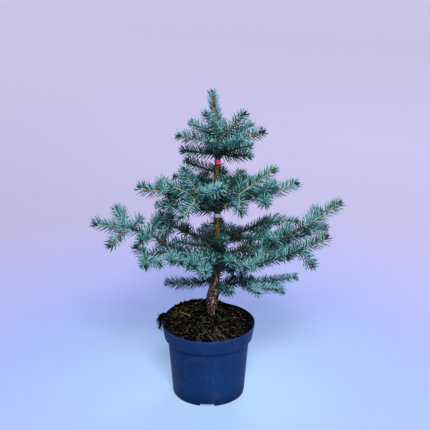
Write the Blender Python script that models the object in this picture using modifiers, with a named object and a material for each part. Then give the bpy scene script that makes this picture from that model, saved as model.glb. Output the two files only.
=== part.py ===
"""A young blue spruce in its nursery pot: pot, soil, trunk, two ties, boughs and needle-clad foliage.

Metres, +Z up, X to the plant's right as it is looked at, Y away from the looker. The origin is the middle
of the pot's flat underside. A heading is a compass angle in degrees: 0 points along +X and 90 along +Y.
"""

import math
import random
import zlib

import bmesh
import bpy
import numpy as np

# What touching pieces keep between them, how much more of it a cut takes, and the angle that stays sharp.
SEAT_GAP = 0.0003
CUT_MARGIN = 1.1
SHARP_ANGLE = 35

# The pot: a five-litre nursery container with a deep collar and four drain channels under it.
POT_HEIGHT = 0.185
POT_SIDES = 48
RIM_RADIUS = 0.1125
RIM_LIP = 0.0008
WALL = 0.0016
COLLAR_FOOT_RADIUS = 0.1070
COLLAR_FOOT = 0.149
BODY_TOP_RADIUS = 0.0985
BODY_TOP = 0.142
FOOT_RADIUS = 0.0875
FOOT_ROUNDING = 0.0020
FLOOR = 0.0090
DRAINS = 4
DRAIN_HEADING = 268
DRAIN_WIDTH = 0.034
DRAIN_HEIGHT = 0.0068
DRAIN_INNER_RADIUS = 0.042
DRAIN_HOLE_RADIUS = 0.006
DRAIN_HOLE_AT = 0.064
DRAIN_HOLE_SIDES = 16

# The soil: heaped round the trunk, highest at the back left, low at the right, spilling over the rim.
SOIL_EDGE = 0.180
SOIL_PLATEAU = 0.024
SOIL_RINGS = (0.045, 0.066, 0.086, 0.099)
MOUND_HEADING, MOUND_HEIGHT = 120, 0.014
HOLLOW_HEADING, HOLLOW_DEPTH = 350, 0.010

# The spill over the rim: its heading and radius, then steps of place out from the rim, drop from the crest
# and share of the radius.
SPILL_HEADING = 170
SPILL_RADIUS = 0.0065
SPILL_STEPS = (
    (-0.016, 0.010, 1.0),
    (-0.007, -0.001, 1.0),
    (0.001, -0.001, 0.9),
    (0.0075, 0.008, 0.9),
    (0.0068, 0.032, 0.4),
)

# The trunk, from the flat cut on the soil to its tip: height, place across, place away, radius.
TRUNK = (
    (0.193, 0.0075, 0.028, 0.0128),
    (0.200, 0.0080, 0.028, 0.0134),
    (0.225, 0.0100, 0.029, 0.0142),
    (0.252, 0.0130, 0.030, 0.0124),
    (0.272, 0.0170, 0.031, 0.0100),
    (0.292, 0.0200, 0.032, 0.0078),
    (0.345, 0.0222, 0.032, 0.0072),
    (0.425, 0.0203, 0.031, 0.0067),
    (0.475, 0.0217, 0.030, 0.0063),
    (0.555, 0.0198, 0.028, 0.0058),
    (0.604, 0.0240, 0.027, 0.0050),
    (0.635, 0.0270, 0.026, 0.0044),
    (0.690, 0.0190, 0.024, 0.0036),
    (0.747, 0.0088, 0.022, 0.0030),
    (0.754, 0.0080, 0.022, 0.0012),
)
SOIL_TOP = TRUNK[0][0] - SEAT_GAP

# The ties: height, tape width, lean in degrees.
TIES = {"tie_upper": (0.580, 0.012, 0), "tie_lower": (0.448, 0.009, 8)}
TIE_SLACK = 0.0008
TIE_THICKNESS = 0.0010
TIE_SIDES = 16

# Boughs: height on the trunk, heading, rise, and length to the fork inside the foliage.
BOUGHS = {
    "middle_front_left": (0.466, 238, 34, 0.098),
    "middle_left": (0.478, 185, 15, 0.119),
    "middle_front_right": (0.468, 310, 34, 0.094),
    "middle_right": (0.482, 0, 9, 0.107),
    "middle_back_left": (0.487, 120, 12, 0.095),
    "middle_back_right": (0.492, 62, 8, 0.095),
    "lower_left": (0.338, 200, 22, 0.135),
    "lower_front_left": (0.320, 205, 26, 0.136),
    "lower_right": (0.348, 346, 18, 0.144),
    "lower_front_right": (0.330, 341, 16, 0.140),
    "lower_back_left": (0.376, 157, 13, 0.120),
    "lower_back_right": (0.384, 24, 13, 0.120),
    "lower_back": (0.354, 88, 2, 0.110),
    "bottom_right": (0.256, 352, 21, 0.069),
}
BOUGH_RADII = (0.0038, 0.0028)
BOUGH_SHARE = 0.55
BOUGH_PIECES = 4

# Foliage. Each mass sits on the bough of its name or at a height on the trunk. Then come its main shoots:
# what each grows from (0 is the bough or trunk, 1 the first shoot), how far along, heading, rise and length.
FOLIAGE = {
    "top_1": (0.640, ((0, 1, 237, 50, 0.086),)),
    "top_2": (0.636, ((0, 1, 326, 46, 0.092),)),
    "top_3": (0.628, ((0, 1, 340, 18, 0.108),)),
    "top_4": (0.636, ((0, 1, 43, 9, 0.096),)),
    "top_5": (0.620, ((0, 1, 302, 19, 0.096),)),
    "top_6": (0.628, ((0, 1, 196, 13, 0.096),)),
    "top_7": (0.638, ((0, 1, 134, 15, 0.093),)),
    "top_8": (0.643, ((0, 1, 88, 8, 0.085),)),
    "upper_1": (0.603, ((0, 1, 325, 19, 0.088),)),
    "upper_2": (0.600, ((0, 1, 18, -9, 0.077),)),
    "upper_3": (0.607, ((0, 1, 254, 28, 0.092),)),
    "upper_4": (0.602, ((0, 1, 171, 1, 0.081),)),
    "upper_5": (0.606, ((0, 1, 98, 12, 0.082),)),
    "inner_1": (0.557, ((0, 1, 138, 3, 0.092),)),
    "inner_2": (0.552, ((0, 1, 72, -16, 0.050),)),
    "middle_front_left": ("bough", ((0, 1, 224, 59, 0.082), (0, 1, 238, -23, 0.077), (0, 1, 180, 20, 0.065),
                                    (0, 1, 300, 24, 0.112))),
    "middle_left": ("bough", ((0, 1, 180, 9, 0.066), (0, 1, 109, 7, 0.064), (0, 1, 274, -31, 0.047))),
    "middle_front_right": ("bough", ((0, 1, 353, 38, 0.098), (0, 1, 20, 5, 0.088), (0, 1, 272, -21, 0.064),
                                     (0, 1, 86, 36, 0.060))),
    "middle_right": ("bough", ((0, 1, 0, 19, 0.084), (0, 1, 272, 2, 0.070), (0, 1, 62, 8, 0.060))),
    "middle_back_left": ("bough", ((0, 1, 122, 10, 0.070), (0, 1, 172, 6, 0.055), (0, 1, 74, 4, 0.062),
                                   (0, 0.2, 78, 8, 0.045))),
    "middle_back_right": ("bough", ((0, 1, 58, -6, 0.070), (0, 1, 14, 4, 0.055), (0, 1, 104, -10, 0.060),
                                    (1, 0.5, 98, 12, 0.040))),
    "middle_low": (0.460, ((0, 1, 176, 4, 0.138),)),
    "middle_front": (0.486, ((0, 1, 281, 42, 0.110),)),
    "lower_left": ("bough", ((0, 1, 193, 37, 0.056), (1, 1, 192, 21, 0.052), (2, 1, 180, 7, 0.074),
                             (2, 1, 113, 20, 0.069), (2, 1, 236, -23, 0.065), (1, 1, 70, 16, 0.075),
                             (1, 1, 258, 2, 0.060), (2, 0.85, 45, 25, 0.034))),
    "lower_front_left": ("bough", ((0, 1, 218, 1, 0.066), (1, 1, 271, 2, 0.060), (1, 1, 160, 35, 0.030),
                                   (0, 1, 275, 10, 0.080))),
    "lower_right": ("bough", ((0, 1, 352, 31, 0.080), (1, 1, 0, 36, 0.098), (1, 1, 51, 28, 0.058),
                              (1, 1, 50, -16, 0.094), (0, 1, 258, 24, 0.078), (0, 1, 112, 2, 0.055))),
    "lower_front_right": ("bough", ((0, 1, 341, 11, 0.074), (1, 1, 0, 28, 0.062), (1, 1, 298, -27, 0.052),
                                    (0, 1, 30, 20, 0.050))),
    "lower_back_left": ("bough", ((0, 1, 160, 6, 0.040), (0, 1, 250, -5, 0.055), (0, 1, 100, 4, 0.060),
                                  (1, 0.6, 118, -16, 0.040))),
    "lower_back_right": ("bough", ((0, 1, 24, 14, 0.030), (1, 1, 8, -11, 0.060), (1, 1, 50, 8, 0.022),
                                   (0, 1, 62, -16, 0.050))),
    "lower_back": ("bough", ((0, 1, 90, 4, 0.085), (0, 1, 44, -6, 0.070), (0, 1, 132, -10, 0.070),
                             (1, 0.5, 48, -14, 0.050), (1, 0.5, 134, -12, 0.050), (0, 0.2, 18, 2, 0.052),
                             (0, 0.2, 160, 0, 0.052))),
    "lower_front": (0.357, ((0, 1, 249, 11, 0.112), (1, 1, 247, 6, 0.066), (1, 1, 278, 2, 0.090),
                            (1, 0.5, 200, 8, 0.055))),
    "lower_front_low": (0.322, ((0, 1, 313, 17, 0.133), (1, 1, 346, 23, 0.112), (1, 1, 244, 14, 0.057),
                                (1, 1, 20, 44, 0.046))),
    "lower_front_short": (0.364, ((0, 1, 285, 6, 0.128),)),
    "lower_left_short": (0.367, ((0, 1, 200, 15, 0.104),)),
    "lower_front_high": (0.377, ((0, 1, 279, 24, 0.114),)),
    "bottom_right": ("bough", ((0, 1, 351, 9, 0.130), (0, 1, 319, 5, 0.105), (0, 1, 296, 4, 0.090),
                               (0, 1, 80, 35, 0.038), (1, 0.55, 305, -12, 0.046))),
    "bottom_left": (0.281, ((0, 1, 180, -6, 0.114),)),
    "bottom_front": (0.264, ((0, 1, 298, 11, 0.080), (1, 0.3, 28, 30, 0.045))),
    "bottom_back": (0.260, ((0, 1, 95, 8, 0.115), (1, 0.55, 140, 6, 0.055), (1, 0.6, 45, 6, 0.055))),
}

# Shoots: three-sided cores whose faces are drawn out into coarse needles.
SHOOT_RADII = (0.0024, 0.0018)
SHOOT_BOW = 0.03
ROOT_SINK = 0.003
NEEDLE_ROW = 0.0105
NEEDLE_LENGTH = 0.0210
NEEDLE_LENGTHS = (0.85, 1.10)
NEEDLE_LEAN = 38
NEEDLE_LEANS = (0.85, 1.15)
NEEDLE_TURN = 47
NEEDLE_BARE = 0.010
NEEDLE_HALF_WIDTH = 0.0038
NEEDLE_CHECKS = (0.35, 0.7, 1.0)
TIP_TUFT = 0.016

# Side twigs: short ones that stand out from a stem, by turns to its left and its right.
TWIG_SPACING = 0.030
TWIG_STAGGER = (0.5, 0.9)
TWIG_LAST = 0.9
TWIG_LENGTHS = (0.030, 0.042)
TWIG_SPREAD = (42, 62)
TWIG_RISES = (-8, 14)
TWIG_ROOM = 0.013

# The leader: needles round the trunk above the top whorl.
LEADER_FOOT, LEADER_TOP = 0.656, 0.745
LEADER_ROWS = 8
LEADER_LEAN = 52
LEADER_WALL = 0.0016

# Colours as the plant shows them: base colour, roughness.
FINISHES = {
    "pot_plastic": ((0.030, 0.065, 0.180), 0.50),
    "peat": ((0.020, 0.016, 0.012), 0.95),
    "bark": ((0.130, 0.065, 0.035), 0.85),
    "needles": ((0.120, 0.320, 0.320), 0.60),
    "pink_tape": ((0.800, 0.060, 0.220), 0.45),
    "pale_tape": ((0.600, 0.680, 0.780), 0.45),
}


# Scene and collections

def clear_scene():
    for thing in list(bpy.data.objects):
        bpy.data.objects.remove(thing)


def new_collection(name):
    collection = bpy.data.collections.new(name)
    bpy.context.scene.collection.children.link(collection)
    return collection


def finish(name):
    """The material of this name, made the first time that it is asked for."""
    if name in bpy.data.materials:
        return bpy.data.materials[name]
    colour, roughness = FINISHES[name]
    material = bpy.data.materials.new(name)
    material.use_nodes = True
    shader = material.node_tree.nodes["Principled BSDF"]
    shader.inputs["Base Color"].default_value = (*colour, 1)
    shader.inputs["Roughness"].default_value = roughness
    shader.inputs["Metallic"].default_value = 0
    return material


def place_part(name, mesh, finish_name, smooth=False):
    part = bpy.data.objects.new(name, mesh)
    mesh.materials.clear()
    mesh.materials.append(finish(finish_name))
    PLANT.objects.link(part)
    if smooth:
        mesh.shade_smooth()
        mesh.set_sharp_from_angle(angle=math.radians(SHARP_ANGLE))
    return part


def place_cutter(name, mesh):
    cutter = bpy.data.objects.new(name, mesh)
    cutter.hide_render = True
    cutter.display_type = "WIRE"
    CUTTERS.objects.link(cutter)
    return cutter


# Directions, paths and distances

def heading_vector(heading, rise=0.0):
    """The unit vector along a compass heading and a rise above the level, both in degrees."""
    turn, lift = math.radians(heading), math.radians(rise)
    return np.array([math.cos(turn) * math.cos(lift), math.sin(turn) * math.cos(lift), math.sin(lift)])


def trunk_at(height):
    """The middle of the trunk at a height."""
    heights, across, away, _ = zip(*TRUNK)
    return np.array([np.interp(height, heights, across), np.interp(height, heights, away), height])


def trunk_radius(height):
    heights, _, _, radii = zip(*TRUNK)
    return float(np.interp(height, heights, radii))


def bowed_path(start, heading, rise, length, shares):
    """Places along a run between its two ends that hangs a little below the straight line."""
    share = np.asarray(shares)[:, None]
    hang = SHOOT_BOW * length * 4 * share * (1 - share)
    return start + share * length * heading_vector(heading, rise) - hang * np.array([0, 0, 1])


def rows_in(length):
    return max(3, round(length / NEEDLE_ROW))


def bough_path(name):
    """The bare wood, from the trunk's middle to where it enters the foliage."""
    height, heading, rise, length = BOUGHS[name]
    shares = np.linspace(0, BOUGH_SHARE, BOUGH_PIECES + 1)
    return bowed_path(trunk_at(height), heading, rise, length, shares)


def stem_path(name):
    """The bough's line carried on inside the foliage, from just clear of the wood to the fork."""
    height, heading, rise, length = BOUGHS[name]
    shares = np.linspace(BOUGH_SHARE, 1, rows_in(length * (1 - BOUGH_SHARE)) + 1)
    path = bowed_path(trunk_at(height), heading, rise, length, shares)
    ahead = path[1] - path[0]
    path[0] += SEAT_GAP * ahead / np.linalg.norm(ahead)
    return path


def leader_path():
    return np.array([trunk_at(height) for height in np.linspace(LEADER_FOOT, LEADER_TOP, LEADER_ROWS + 1)])


def point_along(path, share):
    place = share * (len(path) - 1)
    low = min(int(place), len(path) - 2)
    return path[low] + (place - low) * (path[low + 1] - path[low])


def main_shoots(name):
    """The middle lines of a mass's stem and main shoots, and which of them end in a bud."""
    carrier, rows = FOLIAGE[name]
    paths = [stem_path(name)] if carrier == "bough" else [None]
    ends = [False]
    for parent, along, heading, rise, length in rows:
        start = trunk_at(carrier) if paths[parent] is None else point_along(paths[parent], along)
        path = bowed_path(start, heading, rise, length, np.linspace(0, 1, rows_in(length) + 1))
        if paths[parent] is not None:
            ahead = paths[parent][-1] - paths[parent][-2]
            path[0] -= ROOT_SINK * ahead / np.linalg.norm(ahead)
        paths.append(path)
        ends.append(True)
        if along == 1:
            ends[parent] = False
    return [(path, end) for path, end in zip(paths, ends) if path is not None]


def side_twigs(path, rng):
    """Short twigs on alternate sides of a shoot."""
    length = np.linalg.norm(path[-1] - path[0])
    run = path[-1] - path[0]
    heading = math.degrees(math.atan2(run[1], run[0]))
    side = rng.choice((-1, 1))
    twigs = []
    for number in range(int(length / TWIG_SPACING)):
        side = -side
        share = (number + rng.uniform(*TWIG_STAGGER)) * TWIG_SPACING / length
        turn = side * rng.uniform(*TWIG_SPREAD)
        reach = rng.uniform(*TWIG_LENGTHS)
        shares = np.linspace(0, 1, rows_in(reach) + 1)
        start = point_along(path, min(share, TWIG_LAST))
        twigs.append(bowed_path(start, heading + turn, rng.uniform(*TWIG_RISES), reach, shares))
    return twigs


def distances(points, starts, ends):
    """How far each point is from each straight piece."""
    run = ends - starts
    offset = points[:, None] - starts
    share = np.clip((offset * run).sum(axis=2) / (run * run).sum(axis=1), 0, 1)
    return np.linalg.norm(offset - share[..., None] * run, axis=2)


def pieces_of(paths):
    """The starts and ends of all the straight pieces of some paths."""
    return np.vstack([path[:-1] for path in paths]), np.vstack([path[1:] for path in paths])


class OwnSpace:
    """Every mass's shoots, and the limbs. It tells what would leave a mass's own space or touch a limb."""

    def __init__(self):
        self.shoots = {name: main_shoots(name) for name in FOLIAGE}
        self.shoots["leader"] = [(leader_path(), True)]
        trunk = np.array([row[1:3] + row[:1] for row in TRUNK])
        girth = [max(low[3], high[3]) for low, high in zip(TRUNK, TRUNK[1:])]
        limbs = [(trunk[:-1], trunk[1:], girth)]
        for name in BOUGHS:
            path = bough_path(name)
            limbs.append((path[:-1], path[1:], [BOUGH_RADII[0]] * (len(path) - 1)))
        self.limb_starts = np.vstack([limb[0] for limb in limbs])
        self.limb_ends = np.vstack([limb[1] for limb in limbs])
        self.limb_radii = np.concatenate([limb[2] for limb in limbs])
        self.measure()
        for name in FOLIAGE:
            self.grow_twigs(name)

    def measure(self):
        """The straight pieces of each mass's shoots."""
        self.lines = {name: pieces_of([path for path, _ in shoots]) for name, shoots in self.shoots.items()}

    def limb_room(self, points):
        return (distances(points, self.limb_starts, self.limb_ends) - self.limb_radii).min(axis=1)

    def grow_twigs(self, name):
        """Adds the twigs that fit beside the stem of a mass that a bough carries."""
        if FOLIAGE[name][0] != "bough":
            return
        for twig in side_twigs(self.shoots[name][0][0], random.Random(zlib.crc32(name.encode()))):
            if self.has_room(twig[2:]):
                self.shoots[name].append((twig, True))
                self.measure()

    def has_room(self, points):
        """Whether a twig's outer part stands well away from every shoot and limb."""
        lines = [distances(points, *line).min() for line in self.lines.values()]
        return min(lines) > TWIG_ROOM and self.limb_room(points).min() > TWIG_ROOM

    def keeps(self, name, root, tip):
        """Whether a needle stays nearer to its own mass than to any other, and clear of every limb."""
        share = np.array(NEEDLE_CHECKS)
        points = root + share[:, None] * (tip - root)
        width = (1 - share) * NEEDLE_HALF_WIDTH + SEAT_GAP
        own = distances(points, *self.lines[name]).min(axis=1)
        for other, line in self.lines.items():
            if other == name:
                continue
            away = distances(points, *line).min(axis=1)
            if (own + 2 * width > away).any() or (away < SHOOT_RADII[0] + width + SEAT_GAP).any():
                return False
        return name == "leader" or bool((self.limb_room(points) > width).all())


# Making solids

def mesh_of_curve(curve):
    """The curve's surface as one closed mesh, with the loose caps welded on."""
    guide = bpy.data.objects.new("guide", curve)
    bpy.context.scene.collection.objects.link(guide)
    graph = bpy.context.evaluated_depsgraph_get()
    mesh = bpy.data.meshes.new_from_object(guide.evaluated_get(graph))
    bpy.data.objects.remove(guide)
    bpy.data.curves.remove(curve)
    work = bmesh.new()
    work.from_mesh(mesh)
    bmesh.ops.remove_doubles(work, verts=work.verts, dist=1e-6)
    bmesh.ops.recalc_face_normals(work, faces=work.faces)
    work.to_mesh(mesh)
    work.free()
    return mesh


def tube_mesh(name, path, radii, resolution=1, section=None, turn=0.0):
    """A tube of varying radius, with its ends closed. A section gives it other than a round outline."""
    curve = bpy.data.curves.new(name, "CURVE")
    curve.dimensions = "3D"
    curve.use_fill_caps = True
    curve.bevel_depth = 1.0
    curve.bevel_resolution = resolution
    if section:
        curve.bevel_mode = "OBJECT"
        curve.bevel_object = section
    spline = curve.splines.new("POLY")
    spline.points.add(len(path) - 1)
    for step, (point, place, radius) in enumerate(zip(spline.points, path, radii)):
        point.co = (*place, 1)
        point.radius = radius
        point.tilt = step * math.radians(turn)
    return mesh_of_curve(curve)


def polygon_section(sides):
    """A regular outline of unit radius, for tubes with few sides."""
    curve = bpy.data.curves.new("section", "CURVE")
    curve.dimensions = "2D"
    spline = curve.splines.new("POLY")
    spline.points.add(sides - 1)
    spline.use_cyclic_u = True
    for step, point in enumerate(spline.points):
        angle = 2 * math.pi * step / sides
        point.co = (math.cos(angle), math.sin(angle), 0, 1)
    section = bpy.data.objects.new("section_%d" % sides, curve)
    section.hide_render = True
    section.display_type = "WIRE"
    CUTTERS.objects.link(section)
    return section


def turned_mesh(name, profile, sides):
    """A profile of (radius, height) points turned about Z. It runs down its outer side."""
    mesh = bpy.data.meshes.new(name)
    points = [(radius, 0, height) for radius, height in profile]
    mesh.from_pydata(points, [(i, i + 1) for i in range(len(points) - 1)], [])
    guide = bpy.data.objects.new(name, mesh)
    bpy.context.scene.collection.objects.link(guide)
    screw = guide.modifiers.new("turn", "SCREW")
    screw.steps = screw.render_steps = sides
    screw.use_merge_vertices = True
    screw.merge_threshold = 1e-5
    return baked_mesh(guide)


def baked_mesh(guide):
    """The guide's mesh with its modifiers applied. The guide is removed."""
    graph = bpy.context.evaluated_depsgraph_get()
    mesh = bpy.data.meshes.new_from_object(guide.evaluated_get(graph))
    bpy.data.objects.remove(guide)
    return mesh


def add_boolean(part, operation, operand):
    """A cut by one object, or a union with all of a collection."""
    joint = part.modifiers.new(operation.lower(), "BOOLEAN")
    joint.operation = operation
    joint.solver = "EXACT"
    if isinstance(operand, bpy.types.Collection):
        joint.operand_type = "COLLECTION"
        joint.collection = operand
    else:
        joint.object = operand


def keep_main_body(mesh):
    """Drops loose scraps, and the skins of hollows that fusing sealed."""
    work = bmesh.new()
    work.from_mesh(mesh)
    bmesh.ops.triangulate(work, faces=work.faces)
    left = set(work.faces)
    bodies = []
    while left:
        body, reached = set(), [next(iter(left))]
        while reached:
            face = reached.pop()
            if face not in body:
                body.add(face)
                shared = [edge for edge in face.edges if len(edge.link_faces) == 2]
                reached.extend(other for edge in shared for other in edge.link_faces)
        left -= body
        bodies.append(body)
    bodies.sort(key=len)
    scraps = [face for body in bodies[:-1] for face in body]
    bmesh.ops.delete(work, geom=scraps, context="FACES")
    work.to_mesh(mesh)
    work.free()


def joined_mesh(meshes, cutter=None):
    """One body from several meshes by a single union, then cut clear of the cutter."""
    first = bpy.data.objects.new("first", meshes[0])
    bpy.context.scene.collection.objects.link(first)
    others = bpy.data.collections.new("to_join")
    for mesh in meshes[1:]:
        others.objects.link(bpy.data.objects.new("other", mesh))
    if len(meshes) > 1:
        bpy.context.scene.collection.children.link(others)
        add_boolean(first, "UNION", others)
    if cutter:
        add_boolean(first, "DIFFERENCE", cutter)
    bpy.context.view_layer.update()
    mesh = baked_mesh(first)
    for other in list(others.objects):
        bpy.data.objects.remove(other)
    bpy.data.collections.remove(others)
    keep_main_body(mesh)
    return mesh


# Pot, soil and ties

def wall_line(inset):
    """The wall's line from the collar's top to the foot, moved inwards by the inset."""
    return [
        (RIM_RADIUS - inset, POT_HEIGHT - RIM_LIP),
        (COLLAR_FOOT_RADIUS - inset, COLLAR_FOOT),
        (BODY_TOP_RADIUS - inset, BODY_TOP),
    ]


def inner_radius(height):
    """The inside of the pot's wall at a height."""
    rows = wall_line(WALL) + [(FOOT_RADIUS - WALL, FLOOR)]
    radii, heights = zip(*reversed(rows))
    return float(np.interp(height, heights, radii))


def make_pot():
    inside = [(0, FLOOR), (FOOT_RADIUS - WALL, FLOOR)] + list(reversed(wall_line(WALL)))
    lip = [(RIM_RADIUS - WALL + RIM_LIP / 2, POT_HEIGHT), (RIM_RADIUS - RIM_LIP / 2, POT_HEIGHT)]
    foot = [(FOOT_RADIUS, FOOT_ROUNDING), (FOOT_RADIUS - FOOT_ROUNDING, 0), (0, 0)]
    mesh = turned_mesh("pot", inside + lip + wall_line(0) + foot, POT_SIDES)
    pot = place_part("pot", mesh, "pot_plastic", smooth=True)
    for number in range(DRAINS):
        heading = DRAIN_HEADING + number * 360 / DRAINS
        add_boolean(pot, "DIFFERENCE", drain_cutter(number, heading))
        add_boolean(pot, "DIFFERENCE", drain_hole_cutter(number, heading))


def drain_cutter(number, heading):
    """A channel under the floor that runs out through the foot of the wall."""
    work = bmesh.new()
    bmesh.ops.create_cube(work, size=1)
    length = FOOT_RADIUS * 1.1 - DRAIN_INNER_RADIUS
    bmesh.ops.scale(work, verts=work.verts, vec=(length, DRAIN_WIDTH, 2 * DRAIN_HEIGHT))
    bmesh.ops.translate(work, verts=work.verts, vec=(DRAIN_INNER_RADIUS + length / 2, 0, 0))
    mesh = bpy.data.meshes.new("drain_%d" % number)
    work.to_mesh(mesh)
    work.free()
    cutter = place_cutter("drain_%d" % number, mesh)
    cutter.rotation_euler.z = math.radians(heading)
    return cutter


def drain_hole_cutter(number, heading):
    work = bmesh.new()
    bmesh.ops.create_cone(work, cap_ends=True, segments=DRAIN_HOLE_SIDES, radius1=DRAIN_HOLE_RADIUS,
                          radius2=DRAIN_HOLE_RADIUS, depth=4 * FLOOR)
    mesh = bpy.data.meshes.new("drain_hole_%d" % number)
    work.to_mesh(mesh)
    work.free()
    cutter = place_cutter("drain_hole_%d" % number, mesh)
    cutter.location = DRAIN_HOLE_AT * heading_vector(heading)
    return cutter


def soil_height(heading, share):
    """The soil's surface. The share runs from 0 on the plateau round the trunk to 1 at the wall."""
    mound = max(0, math.cos(math.radians(heading - MOUND_HEADING))) * MOUND_HEIGHT
    hollow = max(0, math.cos(math.radians(heading - HOLLOW_HEADING))) * HOLLOW_DEPTH
    edge = SOIL_EDGE + mound - hollow
    ease = share * share * (3 - 2 * share)
    return SOIL_TOP + (edge - SOIL_TOP) * ease


def shape_soil_top(mesh, edge_radius):
    """Moves each ring of the top to its height, and its middle towards the trunk."""
    across, away, _ = trunk_at(SOIL_TOP)
    for vert in mesh.vertices:
        if vert.co.z < SOIL_TOP - 1e-6:
            continue
        radius = math.hypot(vert.co.x, vert.co.y)
        heading = math.degrees(math.atan2(vert.co.y, vert.co.x))
        share = min(1, max(0, (radius - SOIL_PLATEAU) / (edge_radius - SOIL_PLATEAU)))
        height = soil_height(heading, share)
        if share > 0.999:
            scale = (inner_radius(height) - SEAT_GAP) / radius
        else:
            scale = 1
        shift = 1 - radius / edge_radius
        vert.co = (vert.co.x * scale + across * shift, vert.co.y * scale + away * shift, height)


def spill_mesh():
    """Peat and fibres that hang over the rim."""
    crest = POT_HEIGHT + SPILL_RADIUS + SEAT_GAP
    out = heading_vector(SPILL_HEADING)
    path = [(RIM_RADIUS + place) * out + np.array([0, 0, crest - drop]) for place, drop, _ in SPILL_STEPS]
    return tube_mesh("spill", path, [SPILL_RADIUS * share for _, _, share in SPILL_STEPS])


def make_soil():
    edge_radius = inner_radius(SOIL_EDGE) - SEAT_GAP
    top = [(0, SOIL_TOP), (SOIL_PLATEAU, SOIL_TOP)] + [(radius, SOIL_TOP) for radius in SOIL_RINGS]
    sides = [(radius - SEAT_GAP, height) for radius, height in wall_line(WALL)[1:]]
    foot = [(FOOT_RADIUS - WALL - SEAT_GAP, FLOOR + SEAT_GAP), (0, FLOOR + SEAT_GAP)]
    mesh = turned_mesh("soil", top + [(edge_radius, SOIL_TOP)] + sides + foot, POT_SIDES)
    shape_soil_top(mesh, edge_radius)
    place_part("soil", joined_mesh([mesh, spill_mesh()]), "peat")


def make_ties():
    for name, tape in zip(TIES, ("pink_tape", "pale_tape")):
        height, width, lean = TIES[name]
        inner = trunk_radius(height) + TIE_SLACK
        outer = inner + TIE_THICKNESS
        profile = [(outer, width / 2), (outer, -width / 2), (inner, -width / 2), (inner, width / 2),
                   (outer, width / 2)]
        tie = place_part(name, turned_mesh(name, profile, TIE_SIDES), tape, smooth=True)
        tie.location = trunk_at(height)
        tie.rotation_euler.y = math.radians(lean)


# Trunk, boughs and foliage

def trunk_mesh(name, margin=0.0):
    path = [(across, away, height) for height, across, away, _ in TRUNK]
    return tube_mesh(name, path, [row[3] + margin for row in TRUNK], resolution=3)


def make_trunk():
    """The trunk, and a slightly fatter copy that cuts what meets it."""
    mesh = trunk_mesh("trunk")
    flat = min(vert.co.z for vert in mesh.vertices)
    for vert in mesh.vertices:
        if vert.co.z < TRUNK[0][0] + (TRUNK[0][0] - flat) + 1e-5:
            vert.co.z = TRUNK[0][0]
    place_part("trunk", mesh, "bark", smooth=True)
    return place_cutter("trunk_clearance", trunk_mesh("trunk_clearance", CUT_MARGIN * SEAT_GAP))


def make_bough(name, clearance):
    path = bough_path(name)
    mesh = tube_mesh(name, path, np.linspace(*BOUGH_RADII, len(path)))
    place_part("bough_" + name, joined_mesh([mesh], clearance), "bark", smooth=True)


def draw_out_needles(name, mesh, path, space, rng):
    """Draws each side face of a shoot's core out into a needle that leans forwards."""
    work = bmesh.new()
    work.from_mesh(mesh)
    work.normal_update()
    lean = math.radians(LEADER_LEAN if name == "leader" else NEEDLE_LEAN)
    for face in [face for face in work.faces if len(face.verts) == 4]:
        root = np.array(face.calc_center_median())
        ahead = path[1:] - path[:-1]
        nearest = distances(root[None], path[:-1], path[1:])[0].argmin()
        forward = ahead[nearest] / np.linalg.norm(ahead[nearest])
        outward = np.array(face.normal)
        outward -= outward.dot(forward) * forward
        outward /= np.linalg.norm(outward)
        tilt = lean * rng.uniform(*NEEDLE_LEANS)
        length = NEEDLE_LENGTH * rng.uniform(*NEEDLE_LENGTHS)
        tip = root + length * (math.cos(tilt) * outward + math.sin(tilt) * forward)
        bare = name != "leader" and np.linalg.norm(root - path[0]) < NEEDLE_BARE
        if not bare and space.keeps(name, root, tip):
            bmesh.ops.poke(work, faces=[face])["verts"][0].co = tip
    work.to_mesh(mesh)
    work.free()


def draw_out_tip(mesh, path):
    """The end face becomes the tuft of needles round the end bud."""
    forward = path[-1] - path[-2]
    forward /= np.linalg.norm(forward)
    work = bmesh.new()
    work.from_mesh(mesh)
    caps = [face for face in work.faces if len(face.verts) == 3 and face.calc_area() > 0]
    end = min(caps, key=lambda face: np.linalg.norm(np.array(face.calc_center_median()) - path[-1]))
    bmesh.ops.poke(work, faces=[end])["verts"][0].co = path[-1] + TIP_TUFT * forward
    work.to_mesh(mesh)
    work.free()


def shoot_mesh(name, path, bears_tip, space, section, rng):
    radii = np.linspace(*SHOOT_RADII, len(path))
    mesh = tube_mesh(name, path, radii, section=section, turn=NEEDLE_TURN)
    if bears_tip:
        draw_out_tip(mesh, path)
    draw_out_needles(name, mesh, path, space, rng)
    return mesh


def make_foliage(name, clearance, space, section):
    rng = random.Random(zlib.crc32(name.encode()))
    meshes = []
    for path, bears_tip in space.shoots[name]:
        meshes.append(shoot_mesh(name, path, bears_tip, space, section, rng))
    place_part("foliage_" + name, joined_mesh(meshes, clearance), "needles")


def make_leader(clearance, space):
    """A sleeve of needles round the trunk's last year of growth, cut clear of it."""
    path = leader_path()
    radii = [trunk_radius(place[2]) + LEADER_WALL for place in path]
    mesh = tube_mesh("leader", path, radii, resolution=1, turn=NEEDLE_TURN / 2)
    draw_out_needles("leader", mesh, path, space, random.Random(1))
    place_part("foliage_leader", joined_mesh([mesh], clearance), "needles")


clear_scene()
PLANT = new_collection("potted_blue_spruce")
CUTTERS = new_collection("cutters")
make_pot()
make_soil()
make_ties()
TRUNK_CLEARANCE = make_trunk()
for bough in BOUGHS:
    make_bough(bough, TRUNK_CLEARANCE)
SPACE = OwnSpace()
THREE_SIDED = polygon_section(3)
for mass in FOLIAGE:
    make_foliage(mass, TRUNK_CLEARANCE, SPACE, THREE_SIDED)
make_leader(TRUNK_CLEARANCE, SPACE)
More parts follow.
